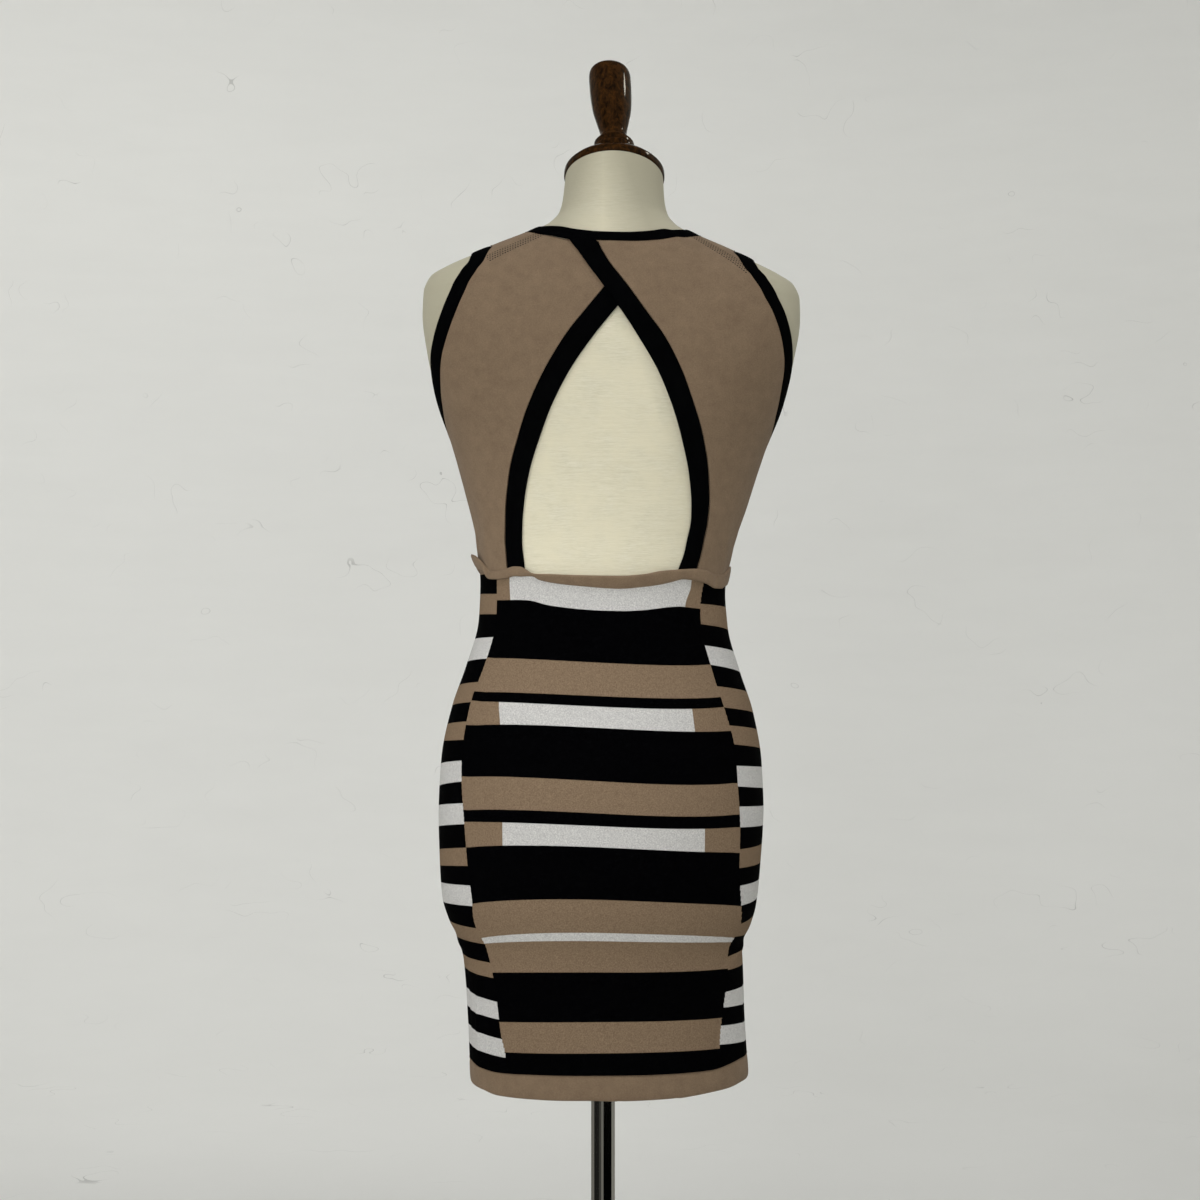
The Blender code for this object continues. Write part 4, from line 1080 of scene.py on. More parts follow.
def sewn_piece(name, lines, tree, seed, thread):
    """Plain mesh of stitches along lines of points."""
    path = bpy.data.meshes.new(name + "_path")
    starts = np.cumsum([0] + [len(line) for line in lines])
    edges = [(start + i, start + i + 1)
             for start, line in zip(starts, lines) for i in range(len(line) - 1)]
    path.from_pydata(np.concatenate(lines).tolist(), edges, [])
    carrier = bpy.data.objects.new(name + "_path", path)
    bpy.context.scene.collection.objects.link(carrier)
    modifier = carrier.modifiers.new("stitches", "NODES")
    modifier.node_group = tree
    sockets = {item.name: item.identifier for item in tree.interface.items_tree if item.in_out == "INPUT"}
    sizes = {"Pitch": STITCH_PITCH, "Smallest": STITCH_SMALLEST, "Largest": STITCH_LARGEST}
    for label, value in {**sizes, "Seed": seed, "Thread": thread}.items():
        modifier[sockets[label]] = value
    shown = carrier.evaluated_get(bpy.context.evaluated_depsgraph_get())
    mesh = bpy.data.meshes.new_from_object(shown)
    carrier.modifiers.remove(modifier)
    bpy.data.objects.remove(carrier)
    mesh.materials.clear()
    mesh.shade_smooth()
    add_piece(name, mesh, thread, None)


def build_stitches(taupe, black):
    """Linking along the seams of the bands, and along the side and shoulder seams."""
    def sewn(turn, height, lift):
        turn, height = np.broadcast_arrays(turn, height)
        return skin(turn, height, CLOTH_REST + KNIT_WALL + lift(turn, height))

    on_black, on_taupe = [], []
    for side, name, lift in ((-1, "left", folds), (1, "right", neck_lift)):
        height = spread(*OPENING_LINKED, 300)
        on_black.append(sewn(column_value(OPENING, name + "_seam", height), height, lift))
        on_black.append(sewn(*armhole_line("seam", spread(0, len(ARMHOLE), 600), side), folds))
        on_black.append(sewn(*neck_line("seam", spread(0, len(NECKLINE) - 1, 300), side), neck_lift))
        on_taupe.append(sewn(side * SIDE_SEAM, spread(*SIDE_LINKED, 120), folds))
        on_taupe.append(sewn(side * SHOULDER_SEAM, spread(*SHOULDER_LINKED, 60), folds))
    turn = spread(-180, 180, 900)
    on_taupe.append(sewn(turn, HEM_BAND_TOP + hem_line("seam", turn), folds))
    tree = stitch_tree()
    sewn_piece("linking_stitches_black", on_black, tree, 3, black)
    sewn_piece("linking_stitches_taupe", on_taupe, tree, 8, taupe)


# Form and stand

def build_torso(linen):
    """Padded torso with a rounded underside, a bore for the pole and a closed neck."""
    sides, rows, upper_rows = 40 * FINE, 34 * FINE, 20 * FINE
    low = spread(0, len(UNDERSIDE) - 1, 4 * FINE)[:-1]
    low_heights = np.interp(low, np.arange(len(UNDERSIDE)), [row.height for row in UNDERSIDE])
    low_insets = column_value(UNDERSIDE, "inset", low_heights)
    insets = UNDERSIDE[-1].inset * (1 - ease(spread(0, 1, rows) * 12))
    heights = np.concatenate([low_heights, spread(UNDERSIDE[-1].height, SHOULDER_HEIGHT, rows),
                              spread(SHOULDER_HEIGHT, NECK_PLATE_HEIGHT, upper_rows)[1:]])
    insets = np.concatenate([low_insets, insets, np.zeros(upper_rows)])
    turn = 360 * np.arange(sides) / sides
    body = figure(turn[None, :], heights[:, None], insets[:, None])

    socket = np.stack([np.sin(np.radians(turn)), -np.cos(np.radians(turn)), np.zeros(sides)], -1)
    socket = socket * (POLE_RADIUS + POLE_CLEARANCE)
    mouth = body[0] * np.array([0, 0, 1]) + socket
    inward = np.stack([between(mouth, body[0], share) for share in np.linspace(0, 1, 9)[:-1]])
    bore = np.stack([socket + np.array([0, 0, height])
                     for height in (POLE_TOP + POLE_CLEARANCE, POLE_TOP - BORE_DEPTH)])
    neck = np.stack([between(body[-1], body[-1].mean(0), share) for share in (0.02, 0.4, 0.8)])
    points = np.concatenate([bore, inward, body, neck])
    mesh = outward(ring_mesh("torso", points, None, closed=False))
    mesh.set_sharp_from_angle(angle=SHARP_TURNED)
    add_piece("linen_torso", mesh, linen, "form_torso")


def build_neck(wood):
    """Turned cap on the tilted neck plate, and the finial on it."""
    lean = Matrix.Rotation(math.radians(LEAN_ANGLE), 4, "Y")
    pivot = Matrix.Translation((0, 0, LEAN_HEIGHT))
    plate = Matrix.Translation((0, NECK_PLATE_SHIFT, NECK_PLATE_HEIGHT))
    tilt = Matrix.Rotation(-math.radians(NECK_PLATE_TILT), 4, "X")
    neck_axis = pivot @ lean @ pivot.inverted() @ plate @ tilt
    cap = turned_mesh("cap", NECK_CAP, CAP_GROOVES, 120, 0, neck_axis)
    add_piece("turned_neck_cap", cap, wood, "form_neck_cap")
    finial = turned_mesh("finial", FINIAL, FINIAL_GROOVES, 96, FINIAL_SLANT, neck_axis)
    add_piece("turned_finial", finial, wood, "form_finial")


def build_stand(chrome, satin):
    """Tube that carries the form, and its round base with a socket."""
    pole = [Turned(POLE_FOOT, POLE_RADIUS - POLE_CHAMFER), Turned(POLE_FOOT + POLE_CHAMFER, POLE_RADIUS),
            Turned(POLE_TOP - POLE_CHAMFER, POLE_RADIUS), Turned(POLE_TOP, POLE_RADIUS - POLE_CHAMFER)]
    mesh = lathe("pole", pole, 96, 0, Matrix.Identity(4))
    add_piece("chrome_pole", mesh, chrome, "stand_pole")
    base = lathe("base", STAND_BASE, 192, 0, Matrix.Identity(4))
    add_piece("steel_base", base, satin, "stand_base")


def turned_mesh(name, profile, grooves, sides, slant, placed):
    """Turned wood from a smooth profile with fine grooves cut round it."""
    at = spread(0, len(profile) - 1, 12 * (len(profile) - 1))
    along, radius = curve_value(profile, "along", at), curve_value(profile, "radius", at)
    for groove in grooves:
        radius = radius - groove.depth * bell(along - groove.along, groove.width)
    return lathe(name, [Turned(*row) for row in zip(along, radius)], sides, slant, placed)


def lathe(name, profile, sides, slant, placed):
    """Round mesh of a profile; the slant steps its sections sideways as they rise."""
    around = 2 * math.pi * np.arange(sides) / sides
    along = np.array([row.along for row in profile])[:, None]
    radius = np.array([row.radius for row in profile])[:, None]
    aside = (along[0] - along) * math.tan(math.radians(slant))
    x, y = radius * np.cos(around) + aside, radius * np.sin(around)
    points = np.stack(np.broadcast_arrays(x, y, along), -1)
    turned_frame = np.array(placed)
    points = points @ turned_frame[:3, :3].T + turned_frame[:3, 3]
    mesh = outward(ring_mesh(name, points, None, closed=False))
    mesh.set_sharp_from_angle(angle=SHARP_TURNED)
    return mesh


# Materials

def linear(hex_colour):
    """Linear colour of an sRGB hex value."""
    shares = [int(hex_colour[i:i + 2], 16) / 255 for i in (0, 2, 4)]
    return (*[s / 12.92 if s <= 0.04045 else ((s + 0.055) / 1.055) ** 2.4 for s in shares], 1)


def add_node(tree, kind, inputs=None, **settings):
    """Adds a node: settings are its properties, inputs are values or other nodes' sockets."""
    made = tree.nodes.new(kind)
    for name, value in settings.items():
        setattr(made, name, value)
    for name, value in (inputs or {}).items():
        if isinstance(value, bpy.types.NodeSocket):
            tree.links.new(value, made.inputs[name])
        else:
            made.inputs[name].default_value = value
    return made


def new_material(name, **values):
    """Material with a Principled shader whose plain values are set on its own sockets."""
    made = bpy.data.materials.new(name)
    made.use_nodes = True
    shader = made.node_tree.nodes["Principled BSDF"]
    for label, value in values.items():
        shader.inputs[label.replace("_", " ")].default_value = value
    return made, made.node_tree, shader


BLACK_YARN = linear("020203")
BLACK_YARN_FLECK = linear("101113")
BLACK_BINDING_YARN = linear("08090A")
TAUPE_YARN = linear("927E67")
TAUPE_YARN_DEEP = linear("786451")
WHITE_YARN = linear("DEDDD9")
WHITE_YARN_GREY = linear("B9B7B6")
# Painted shade: the eyelet holes are coloured this dark to stand for the shade inside them
EYELET_PAINTED_SHADE = linear("2C241C")
YARN_GRAIN = 1.0 * MM
INTARSIA_GRAIN = 1.1 * MM
MOTTLE = 12 * MM
LINEN_THREAD = 1.2 * MM      # coarser than real, so that it shows
LINEN_CLOUDS = 30 * MM
WAVE_BANDS = 3.18            # bands of a wave texture in one unit at a scale of 1


def stitch_relief(tree):
    """Height of plain knit: two slanting legs a stitch, one wale by one course."""
    add = partial(add_node, tree)
    place = add("ShaderNodeUVMap", uv_map="stitches").outputs["UV"]
    split = add("ShaderNodeSeparateXYZ", {0: place})
    wales = add("ShaderNodeMath", {0: split.outputs["X"], 1: WALE}, operation="DIVIDE").outputs[0]
    courses = add("ShaderNodeMath", {0: split.outputs["Y"], 1: COURSE}, operation="DIVIDE").outputs[0]
    across = add("ShaderNodeMath", {0: wales, 1: 0.5}, operation="PINGPONG").outputs[0]
    leg = add("ShaderNodeMath", {0: across, 1: 1.2, 2: courses}, operation="MULTIPLY_ADD").outputs[0]
    loop = add("ShaderNodeMath", {0: leg, 1: 0.5}, operation="PINGPONG").outputs[0]
    height = add("ShaderNodeMath", {0: loop, 1: across}, operation="ADD").outputs[0]
    return height, across


def finish_knit(tree, shader, colour, fleck):
    """Joins a knit's colour and relief to its shader."""
    add = partial(add_node, tree)
    height, _ = stitch_relief(tree)
    grain = add("ShaderNodeMath", {0: fleck, 1: 0.6, 2: height}, operation="MULTIPLY_ADD").outputs[0]
    bump = add("ShaderNodeBump", {"Strength": 0.45, "Distance": 0.3 * MM, "Height": grain})
    tree.links.new(bump.outputs["Normal"], shader.inputs["Normal"])
    tree.links.new(colour, shader.inputs["Base Color"])


def yarn_flecks(tree, size, detail=2.0):
    """Fine uneven grain of spun yarn, from 0 to 1."""
    add = partial(add_node, tree)
    where = add("ShaderNodeTexCoord").outputs["Object"]
    return add("ShaderNodeTexNoise", {"Vector": where, "Scale": 1 / size, "Detail": detail,
                                      "Roughness": 0.6}).outputs["Fac"]


def knit_material(name, yarn, deep, sheen=0.06, specular=0.1, eyelet_rows=False):
    """Fine viscose jersey: matt, with a soft sheen at grazing angles and a faint fleck."""
    made, tree, shader = new_material(name, Roughness=0.9, Sheen_Weight=sheen, Sheen_Roughness=0.5,
                                      Specular_IOR_Level=specular)
    add = partial(add_node, tree)
    fleck = yarn_flecks(tree, YARN_GRAIN)
    mottle = yarn_flecks(tree, MOTTLE, 3.0)
    both = add("ShaderNodeMath", {0: mottle, 1: 0.6, 2: fleck}, operation="MULTIPLY_ADD").outputs[0]
    share = add("ShaderNodeMapRange", {"Value": both, "From Min": 0.45, "From Max": 1.15}).outputs[0]
    colour = add("ShaderNodeMix", {0: share, 6: deep, 7: yarn}, data_type="RGBA").outputs[2]
    if eyelet_rows:
        hole, ridge = eyelet_masks(tree)
        # The eyelet holes are filled with painted shade
        colour = add("ShaderNodeMix", {0: hole, 6: colour, 7: EYELET_PAINTED_SHADE}, data_type="RGBA").outputs[2]
        fleck = add("ShaderNodeMath", {0: ridge, 1: 2.0, 2: fleck}, operation="MULTIPLY_ADD").outputs[0]
        fleck = add("ShaderNodeMath", {0: hole, 1: -4.0, 2: fleck}, operation="MULTIPLY_ADD").outputs[0]
    finish_knit(tree, shader, colour, fleck)
    return made


def eyelet_masks(tree):
    """Small round holes in staggered rows, and the tight course that closes them off below."""
    add = partial(add_node, tree)
    place = add("ShaderNodeUVMap", uv_map="eyelets").outputs["UV"]
    split = add("ShaderNodeSeparateXYZ", {0: place})
    up = add("ShaderNodeMath", {0: split.outputs["Y"], 1: EYELET_PITCH}, operation="DIVIDE").outputs[0]
    row = add("ShaderNodeMath", {0: up}, operation="FLOOR").outputs[0]
    stagger = add("ShaderNodeMath", {0: row, 1: 0.5}, operation="MULTIPLY").outputs[0]
    along = add("ShaderNodeMath", {0: split.outputs["X"], 1: EYELET_PITCH}, operation="DIVIDE").outputs[0]
    along = add("ShaderNodeMath", {0: along, 1: stagger}, operation="ADD").outputs[0]
    across = add("ShaderNodeMath", {0: along, 1: 0.5}, operation="PINGPONG").outputs[0]
    beside = add("ShaderNodeMath", {0: up, 1: 0.5}, operation="PINGPONG").outputs[0]
    spot = add("ShaderNodeCombineXYZ", {0: across, 1: beside})
    away = add("ShaderNodeVectorMath", {0: spot.outputs[0], 1: (0.5, 0.5, 0)}, operation="DISTANCE")
    hole = add("ShaderNodeMapRange", {"Value": away.outputs["Value"], "From Min": 0.34,
                                      "From Max": 0.22}).outputs[0]
    above = add("ShaderNodeMath", {0: row, 1: -0.5}, operation="GREATER_THAN").outputs[0]
    below = add("ShaderNodeMath", {0: row, 1: EYELET_ROWS - 0.5}, operation="LESS_THAN").outputs[0]
    inside = add("ShaderNodeMath", {0: above, 1: below}, operation="MULTIPLY").outputs[0]
    on_strip = add("ShaderNodeMath", {0: split.outputs["X"], 1: EYELET_REACH / 2, 2: EYELET_REACH / 2},
                   operation="COMPARE").outputs[0]
    inside = add("ShaderNodeMath", {0: inside, 1: on_strip}, operation="MULTIPLY").outputs[0]
    hole = add("ShaderNodeMath", {0: hole, 1: inside}, operation="MULTIPLY").outputs[0]
    ridge = add("ShaderNodeMath", {0: up, 1: -0.2, 2: 0.25}, operation="COMPARE").outputs[0]
    ridge = add("ShaderNodeMath", {0: ridge, 1: on_strip}, operation="MULTIPLY").outputs[0]
    return hole, ridge


def yarn_ramp(tree, course, stripes, edges, block):
    """Yarn by height: red where white is knitted, green where taupe is, and dark for black."""
    add = partial(add_node, tree)
    yarns = {"white": (1, 0, 0, 1), "taupe": (0, 1, 0, 1), "black": (0, 0, 0, 1), "block": block}
    at = add("ShaderNodeMapRange", {"Value": course, "From Min": HEM_HEIGHT, "From Max": STRIPES_TOP})
    ramp = add("ShaderNodeValToRGB", {0: at.outputs[0]})
    ramp.color_ramp.interpolation = "CONSTANT"
    places = [(edge - HEM_HEIGHT) / (STRIPES_TOP - HEM_HEIGHT) for edge in edges]
    for stripe, place in list(zip(stripes, places))[::-1]:
        first = stripe is stripes[-1]
        element = ramp.color_ramp.elements[0] if first else ramp.color_ramp.elements.new(place)
        element.position = place
        element.color = yarns[stripe.yarn]
    last = ramp.color_ramp.elements[len(ramp.color_ramp.elements) - 1]
    ramp.color_ramp.elements.remove(last)
    return ramp.outputs["Color"]


def striped_material():
    """Intarsia knit of three yarns: the pattern changes in steps from panel to panel."""
    made, tree, shader = new_material("striped_intarsia_jersey", Roughness=0.9, Specular_IOR_Level=0.02,
                                      Sheen_Weight=0.0, Sheen_Roughness=0.5)
    add = partial(add_node, tree)
    read = {label: add("ShaderNodeAttribute", attribute_name=label).outputs["Fac"]
            for label in ("centre_course", "side_course", "beyond_seam", "seam_slant", "inside_block")}
    _, across = stitch_relief(tree)
    notch = add("ShaderNodeMath", {0: across, 1: COURSE}, operation="MULTIPLY").outputs[0]
    centre = add("ShaderNodeMath", {0: read["centre_course"], 1: notch}, operation="ADD").outputs[0]
    side = add("ShaderNodeMath", {0: read["side_course"], 1: notch}, operation="ADD").outputs[0]
    steps = add("ShaderNodeMath", {0: centre, 1: STEP_HEIGHT}, operation="DIVIDE").outputs[0]
    steps = add("ShaderNodeMath", {0: steps}, operation="FRACT").outputs[0]
    steps = add("ShaderNodeMath", {0: steps, 1: 0.5}, operation="SUBTRACT").outputs[0]
    steps = add("ShaderNodeMath", {0: steps, 1: STEP_HEIGHT}, operation="MULTIPLY").outputs[0]
    beyond = add("ShaderNodeMath", {0: steps, 1: read["seam_slant"], 2: read["beyond_seam"]},
                 operation="MULTIPLY_ADD").outputs[0]
    in_side = add("ShaderNodeMath", {0: beyond, 1: 0.0}, operation="GREATER_THAN").outputs[0]
    in_block = add("ShaderNodeMath", {0: read["inside_block"], 1: 0.0}, operation="GREATER_THAN").outputs[0]

    middles = [stripe.middle for stripe in CENTRE_STRIPES]
    levels = [(stripe.left_seam + stripe.right_seam) / 2 for stripe in SIDE_STRIPES]
    white_blocks = yarn_ramp(tree, centre, CENTRE_STRIPES, middles, (1, 0, 0, 1))
    taupe_blocks = yarn_ramp(tree, centre, CENTRE_STRIPES, middles, (0, 1, 0, 1))
    side_yarn = yarn_ramp(tree, side, SIDE_STRIPES, levels, (0, 0, 0, 1))
    centre_yarn = add("ShaderNodeMix", {0: in_block, 6: taupe_blocks, 7: white_blocks},
                      data_type="RGBA").outputs[2]
    yarn = add("ShaderNodeMix", {0: in_side, 6: centre_yarn, 7: side_yarn}, data_type="RGBA").outputs[2]
    masks = add("ShaderNodeSeparateColor", {0: yarn})

    fleck = yarn_flecks(tree, INTARSIA_GRAIN)
    sharp = add("ShaderNodeMapRange", {"Value": fleck, "From Min": 0.34, "From Max": 0.66}).outputs[0]
    rare = add("ShaderNodeMapRange", {"Value": fleck, "From Min": 0.52, "From Max": 0.75}).outputs[0]
    black = add("ShaderNodeMix", {0: rare, 6: BLACK_YARN, 7: BLACK_YARN_FLECK}, data_type="RGBA").outputs[2]
    taupe = add("ShaderNodeMix", {0: sharp, 6: TAUPE_YARN_DEEP, 7: TAUPE_YARN}, data_type="RGBA").outputs[2]
    white = add("ShaderNodeMix", {0: sharp, 6: WHITE_YARN_GREY, 7: WHITE_YARN}, data_type="RGBA").outputs[2]
    colour = add("ShaderNodeMix", {0: masks.outputs[1], 6: black, 7: taupe}, data_type="RGBA").outputs[2]
    colour = add("ShaderNodeMix", {0: masks.outputs[0], 6: colour, 7: white}, data_type="RGBA").outputs[2]
    finish_knit(tree, shader, colour, fleck)
    return made


def linen_material():
    """Natural slub linen pulled tight over padding: plain weave with thick places in its weft."""
    made, tree, shader = new_material("natural_slub_linen", Roughness=0.9, Specular_IOR_Level=0.2,
                                      Sheen_Weight=0.08, Sheen_Roughness=0.5)
    add = partial(add_node, tree)
    where = add("ShaderNodeTexCoord").outputs["Object"]
    slub = 0.0
    # Slubs 14 mm long and 1.2 mm thick, and finer ones of 5 by 0.8 mm, as repeats to a metre
    for scale, weight in (((70, 70, 800), 0.6), ((190, 190, 1300), 0.4)):
        along = add("ShaderNodeMapping", {"Vector": where, "Scale": scale}).outputs[0]
        threads = add("ShaderNodeTexNoise", {"Vector": along, "Scale": 1.0, "Detail": 2.0,
                                             "Roughness": 0.6, "Distortion": 0.4}).outputs["Fac"]
        slub = add("ShaderNodeMath", {0: threads, 1: weight, 2: slub}, operation="MULTIPLY_ADD").outputs[0]
    slub = add("ShaderNodeMapRange", {"Value": slub, "From Min": 0.38, "From Max": 0.66}).outputs[0]
    cloudy = yarn_flecks(tree, LINEN_CLOUDS, 3.0)
    cloudy = add("ShaderNodeMapRange", {"Value": cloudy, "From Min": 0.3, "From Max": 0.7}).outputs[0]
    thread = add("ShaderNodeTexWave", {"Vector": where, "Scale": 1 / LINEN_THREAD / WAVE_BANDS,
                                       "Distortion": 2.5}, bands_direction="Z").outputs["Fac"]
    colour = add("ShaderNodeMix", {0: slub, 6: linear("DFD9BE"), 7: linear("F2EDD8")},
                 data_type="RGBA").outputs[2]
    colour = add("ShaderNodeMix", {0: cloudy, 6: colour, 7: linear("EEE7CC")}, data_type="RGBA").outputs[2]

    # Greyer and darker towards the neck and out over the shoulders: partly the neck's own greyer cover,
    # partly painted shade on the shoulders
    split = add("ShaderNodeSeparateXYZ", {0: where})
    outer = add("ShaderNodeMath", {0: split.outputs["X"]}, operation="ABSOLUTE").outputs[0]
    outer = add("ShaderNodeMath", {0: outer, 1: 3.0, 2: split.outputs["Z"]},
                operation="MULTIPLY_ADD").outputs[0]
    neck_cover_and_shoulder_shade = add("ShaderNodeMapRange", {"Value": outer, "From Min": 1.33, "From Max": 1.50,
                                         "To Max": 0.85}).outputs[0]
    colour = add("ShaderNodeMix", {0: neck_cover_and_shoulder_shade, 6: colour, 7: linear("B4AF99")}, data_type="RGBA").outputs[2]
    height = add("ShaderNodeMath", {0: slub, 1: 0.8, 2: thread}, operation="MULTIPLY_ADD").outputs[0]
    bump = add("ShaderNodeBump", {"Strength": 0.35, "Distance": 0.3 * MM, "Height": height})
    tree.links.new(bump.outputs["Normal"], shader.inputs["Normal"])
    tree.links.new(colour, shader.inputs["Base Color"])
    return made


def wood_material():
    """Turned hardwood stained dark brown under glossy lacquer: mottled figure, clear highlights."""
    made, tree, shader = new_material("stained_lacquered_hardwood", Roughness=0.6, Specular_IOR_Level=0.1,
                                      Coat_Weight=0.5, Coat_Roughness=0.05, Coat_IOR=1.45)
    add = partial(add_node, tree)
    where = add("ShaderNodeTexCoord").outputs["Object"]
    # Figure of the wood: spots about 4 mm across and 8 mm along the grain, as repeats to a metre
    along = add("ShaderNodeMapping", {"Vector": where, "Scale": (240, 240, 130)}).outputs[0]
    figure_noise = add("ShaderNodeTexNoise", {"Vector": along, "Scale": 1.0, "Detail": 5.0,
                                              "Roughness": 0.65, "Distortion": 0.6}).outputs["Fac"]
    share = add("ShaderNodeMapRange", {"Value": figure_noise, "From Min": 0.38,
                                       "From Max": 0.68}).outputs[0]
    colour = add("ShaderNodeMix", {0: share, 6: linear("190E04"), 7: linear("4B2E10")},
                 data_type="RGBA").outputs[2]
    tree.links.new(colour, shader.inputs["Base Color"])
    return made


def chrome_material():
    """Chromed steel tube: mirror bright, with faint wiping marks."""
    made, tree, shader = new_material("polished_chrome_plate", Metallic=1.0, Base_Color=linear("D8D9DA"))
    add = partial(add_node, tree)
    where = add("ShaderNodeTexCoord").outputs["Object"]
    # Wiping marks about 2.5 mm wide and 80 mm long, as repeats to a metre
    along = add("ShaderNodeMapping", {"Vector": where, "Scale": (400, 400, 12)}).outputs[0]
    wipe = add("ShaderNodeTexNoise", {"Vector": along, "Scale": 1.0, "Detail": 2.0}).outputs["Fac"]
    rough = add("ShaderNodeMapRange", {"Value": wipe, "To Min": 0.03, "To Max": 0.10}).outputs[0]
    tree.links.new(rough, shader.inputs["Roughness"])
    return made


def satin_material():
    """Spun steel base: fine turning marks round its axis."""
    made, tree, shader = new_material("spun_satin_steel", Metallic=1.0, Base_Color=linear("BFC0C1"))
    add = partial(add_node, tree)
    where = add("ShaderNodeTexCoord").outputs["Object"]
    # A mark every 5 mm, coarser than real, so that it shows
    rings = add("ShaderNodeTexWave", {"Vector": where, "Scale": 60.0, "Distortion": 0.4,
                                      "Detail": 2.0}, wave_type="RINGS", rings_direction="Z")
    rough = add("ShaderNodeMapRange", {"Value": rings.outputs["Fac"], "To Min": 0.24,
                                       "To Max": 0.34}).outputs[0]
    tree.links.new(rough, shader.inputs["Roughness"])
    bump = add("ShaderNodeBump", {"Strength": 0.15, "Distance": 0.1 * MM, "Height": rings.outputs["Fac"]})
    tree.links.new(bump.outputs["Normal"], shader.inputs["Normal"])
    return made


# Studio

CAMERA_PLACE = (-0.003, -2.33, 0.999)
CAMERA_LENS = 69.9
CAMERA_SENSOR = 36

# A lamp with a cone is a spotlight, and one without is a soft disc; the size is the width of its face.
# The powers began as a scratch program's fit to the photo's brightness, and were then changed by hand
Lamp = namedtuple("Lamp", "name place size power aim cone")
LAMPS = [
    Lamp("hip_spot", (-0.4, -2.3, 1.25), 0.5, 75, (0.02, 0, 0.85), 32),
    Lamp("high_left", (-0.93, -0.93, 3.32), 1.0, 20, (0, 0, 0.85), 0),
    Lamp("high_right", (1.14, -0.66, 3.32), 1.0, 20, (0, 0, 0.85), 0),
    Lamp("side_left", (-2.06, -1.19, 1.18), 1.0, 9, (0, 0, 0.95), 0),
    Lamp("wall_behind", (-0.7, 1.3, 2.6), 2.0, 51, (-0.7, 6, 1.9), 0),
    Lamp("wall_right", (1.3, 0, 3.6), 2.0, 40, (6, 0, 1.4), 0),
    Lamp("wall_left", (-1.3, 0, 3.6), 2.0, 20, (-6, 0, 1.4), 0),
    Lamp("front_fill", (0.7, 2.5, 1.5), 1.0, 45, (0, 0, 0.95), 46),
]

# Flags that only glossy surfaces see, on the floor and upright round the camera's side: from turn to
# turn, from height to height (one that starts on the floor also covers it), how far off and how bright
Card = namedtuple("Card", "start end bottom top distance shade")
CARD_START = 0.25
CARD_LIFT = 0.004
CARD_STEPS = 12
CARDS = [
    Card(-150, -92, 0, 3.4, 2.9, 0.18),
    Card(-92, -38, 0, 3.4, 2.9, 0.014),
    Card(-38, -17, 0, 3.4, 2.9, 0.055),
    Card(-17, 4, 0, 3.4, 2.9, 0.18),
    Card(4, 88, 0, 3.4, 2.9, 0.001),
    Card(88, 150, 0, 3.4, 2.9, 0.24),
    Card(97, 108, 3.3, 3.7, 2.8, 16.0),
]


def wall_paint():
    """Off-white emulsion laid on with a roller: faint bands of shade and a few hairline scuffs."""
    made, tree, shader = new_material("rolled_matt_wall_paint", Roughness=0.95, Specular_IOR_Level=0.1)
    add = partial(add_node, tree)
    where = add("ShaderNodeTexCoord").outputs["Object"]
    # Bands of 0.3 m along the wall and 70 mm high, as repeats to a metre
    rolled = add("ShaderNodeMapping", {"Vector": where, "Scale": (3, 3, 14)}).outputs[0]
    mottle = add("ShaderNodeTexNoise", {"Vector": rolled, "Scale": 1.0, "Detail": 3.0,
                                        "Roughness": 0.6}).outputs["Fac"]
    mottle = add("ShaderNodeMapRange", {"Value": mottle, "From Min": 0.3, "From Max": 0.7}).outputs[0]
    colour = add("ShaderNodeMix", {0: mottle, 6: linear("ECECE8"), 7: linear("EEEEEA")},
                 data_type="RGBA").outputs[2]
    curls = add("ShaderNodeTexNoise", {"Vector": where, "Scale": 9.0, "Detail": 1.0}).outputs["Fac"]
    hairlines = add("ShaderNodeMath", {0: curls, 1: 0.5, 2: 0.0016}, operation="COMPARE").outputs[0]
    patches = add("ShaderNodeTexNoise", {"Vector": where, "Scale": 6.0, "Detail": 1.0}).outputs["Fac"]
    patches = add("ShaderNodeMapRange", {"Value": patches, "From Min": 0.60, "From Max": 0.68}).outputs[0]
    scratches = add("ShaderNodeMath", {0: hairlines, 1: patches}, operation="MULTIPLY").outputs[0]
    colour = add("ShaderNodeMix", {0: scratches, 6: colour, 7: linear("CFCFCB")},
                 data_type="RGBA").outputs[2]
    tree.links.new(colour, shader.inputs["Base Color"])
    return made


def build_cove():
    """Pale cove all round, open at the top: a flat floor that curves up into the wall."""
    flat, cove, height, sides = 2.6, 2.2, 4.2, 160
    angles = np.linspace(0, math.pi / 2, 40)
    profile = [Turned(0, 0.01)] + [Turned(0, flat * share) for share in (0.1, 0.3, 0.6, 0.9)]
    profile += [Turned(cove - cove * math.cos(a), flat + cove * math.sin(a)) for a in angles]
    profile += [Turned(height, flat + cove)]
    around = 2 * math.pi * np.arange(sides) / sides
    along = np.array([row.along for row in profile])[:, None]
    radius = np.array([row.radius for row in profile])[:, None]
    points = np.stack(np.broadcast_arrays(radius * np.cos(around), radius * np.sin(around), along), -1)
    owner = np.arange(len(profile) * sides).reshape(-1, sides)
    owner = np.concatenate([owner, owner[:, :1]], 1)
    mesh = make_mesh("studio_cove", points, paired(quads_over(owner)))
    mesh.materials.append(wall_paint())
    backdrop = bpy.data.objects.new("studio_cove", mesh)
    bpy.context.scene.collection.objects.link(backdrop)


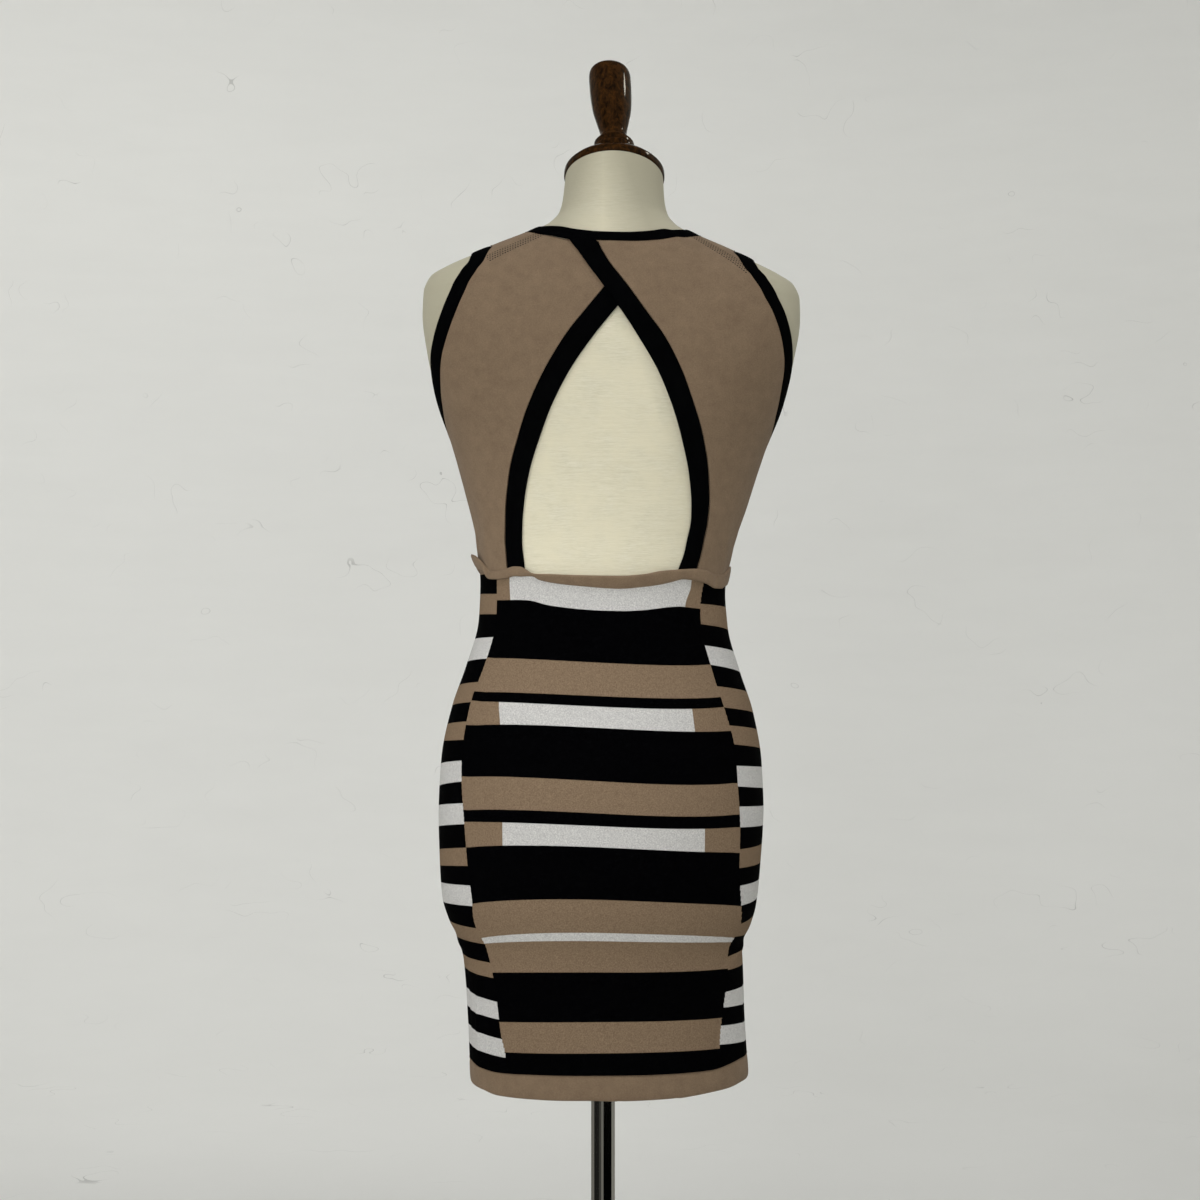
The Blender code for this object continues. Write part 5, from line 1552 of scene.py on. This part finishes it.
def build_lamps():
    """Soft lamps on the dress, on the cove and on the front, which the camera doesn't see."""
    for lamp in LAMPS:
        light = bpy.data.lights.new(lamp.name, "SPOT" if lamp.cone else "AREA")
        light.energy = lamp.power
        if lamp.cone:
            light.spot_size = math.radians(lamp.cone)
            light.spot_blend = 1.0
            light.shadow_soft_size = lamp.size / 2
        else:
            light.shape = "DISK"
            light.size = lamp.size
        made = bpy.data.objects.new(lamp.name, light)
        made.location = lamp.place
        away = Vector(lamp.place) - Vector(lamp.aim)
        made.rotation_euler = away.to_track_quat("Z", "Y").to_euler()
        made.visible_camera = False
        made.visible_glossy = False
        bpy.context.scene.collection.objects.link(made)


def build_air():
    """Weak cool light from everywhere, and the plain view of the colours."""
    world = bpy.data.worlds.new("studio_air")
    world.use_nodes = True
    world.node_tree.nodes["Background"].inputs["Color"].default_value = linear("EEF1F4")
    world.node_tree.nodes["Background"].inputs["Strength"].default_value = 0.05
    bpy.context.scene.world = world
    bpy.context.scene.view_settings.view_transform = "Standard"


def build_cards():
    """Bent cards for the reflections in the chrome and in the lacquer."""
    for number, card in enumerate(CARDS):
        turn = np.radians(spread(card.start, card.end, CARD_STEPS))
        profile = [(card.distance, max(card.bottom, CARD_LIFT)), (card.distance, card.top)]
        if not card.bottom:
            profile.insert(0, (CARD_START, CARD_LIFT))
        rows = [np.stack([radius * np.sin(turn), -radius * np.cos(turn), np.full(len(turn), height)], -1)
                for radius, height in profile]
        numbers = np.arange(len(turn) * len(rows)).reshape(-1, len(turn))
        mesh = make_mesh("card", np.stack(rows), paired(quads_over(numbers)))
        surface, _, _ = new_material("reflection_card_%d" % number, Base_Color=(0, 0, 0, 1),
                                     Roughness=1.0, Specular_IOR_Level=0.0,
                                     Emission_Color=linear("FFF9E7"), Emission_Strength=card.shade)
        mesh.materials.append(surface)
        made = bpy.data.objects.new("reflection_card_%d" % number, mesh)
        made.visible_camera = made.visible_diffuse = made.visible_shadow = False
        bpy.context.scene.collection.objects.link(made)


def build_camera():
    """Level camera behind the dress, at the height of the hips."""
    camera = bpy.data.cameras.new("camera")
    camera.lens = CAMERA_LENS
    camera.sensor_width = CAMERA_SENSOR
    made = bpy.data.objects.new("camera", camera)
    made.location = CAMERA_PLACE
    made.rotation_euler = (math.radians(90), 0, 0)
    bpy.context.scene.collection.objects.link(made)
    bpy.context.scene.camera = made


def main():
    """Builds the studio, then the form and the dress on it."""
    build_camera()
    build_cove()
    build_lamps()
    build_air()
    build_cards()
    taupe = knit_material("taupe_viscose_jersey", TAUPE_YARN, TAUPE_YARN_DEEP)
    eyelets = knit_material("taupe_jersey_with_eyelet_rows", TAUPE_YARN, TAUPE_YARN_DEEP,
                            eyelet_rows=True)
    black = knit_material("black_viscose_jersey", BLACK_BINDING_YARN, BLACK_YARN, sheen=0.0,
                          specular=0.02)
    striped = striped_material()
    build_torso(linen_material())
    build_neck(wood_material())
    build_stand(chrome_material(), satin_material())
    build_skirt(striped, taupe)
    build_bodice(taupe, eyelets, black)
    build_waist_band(taupe)
    build_stitches(taupe, black)


main()
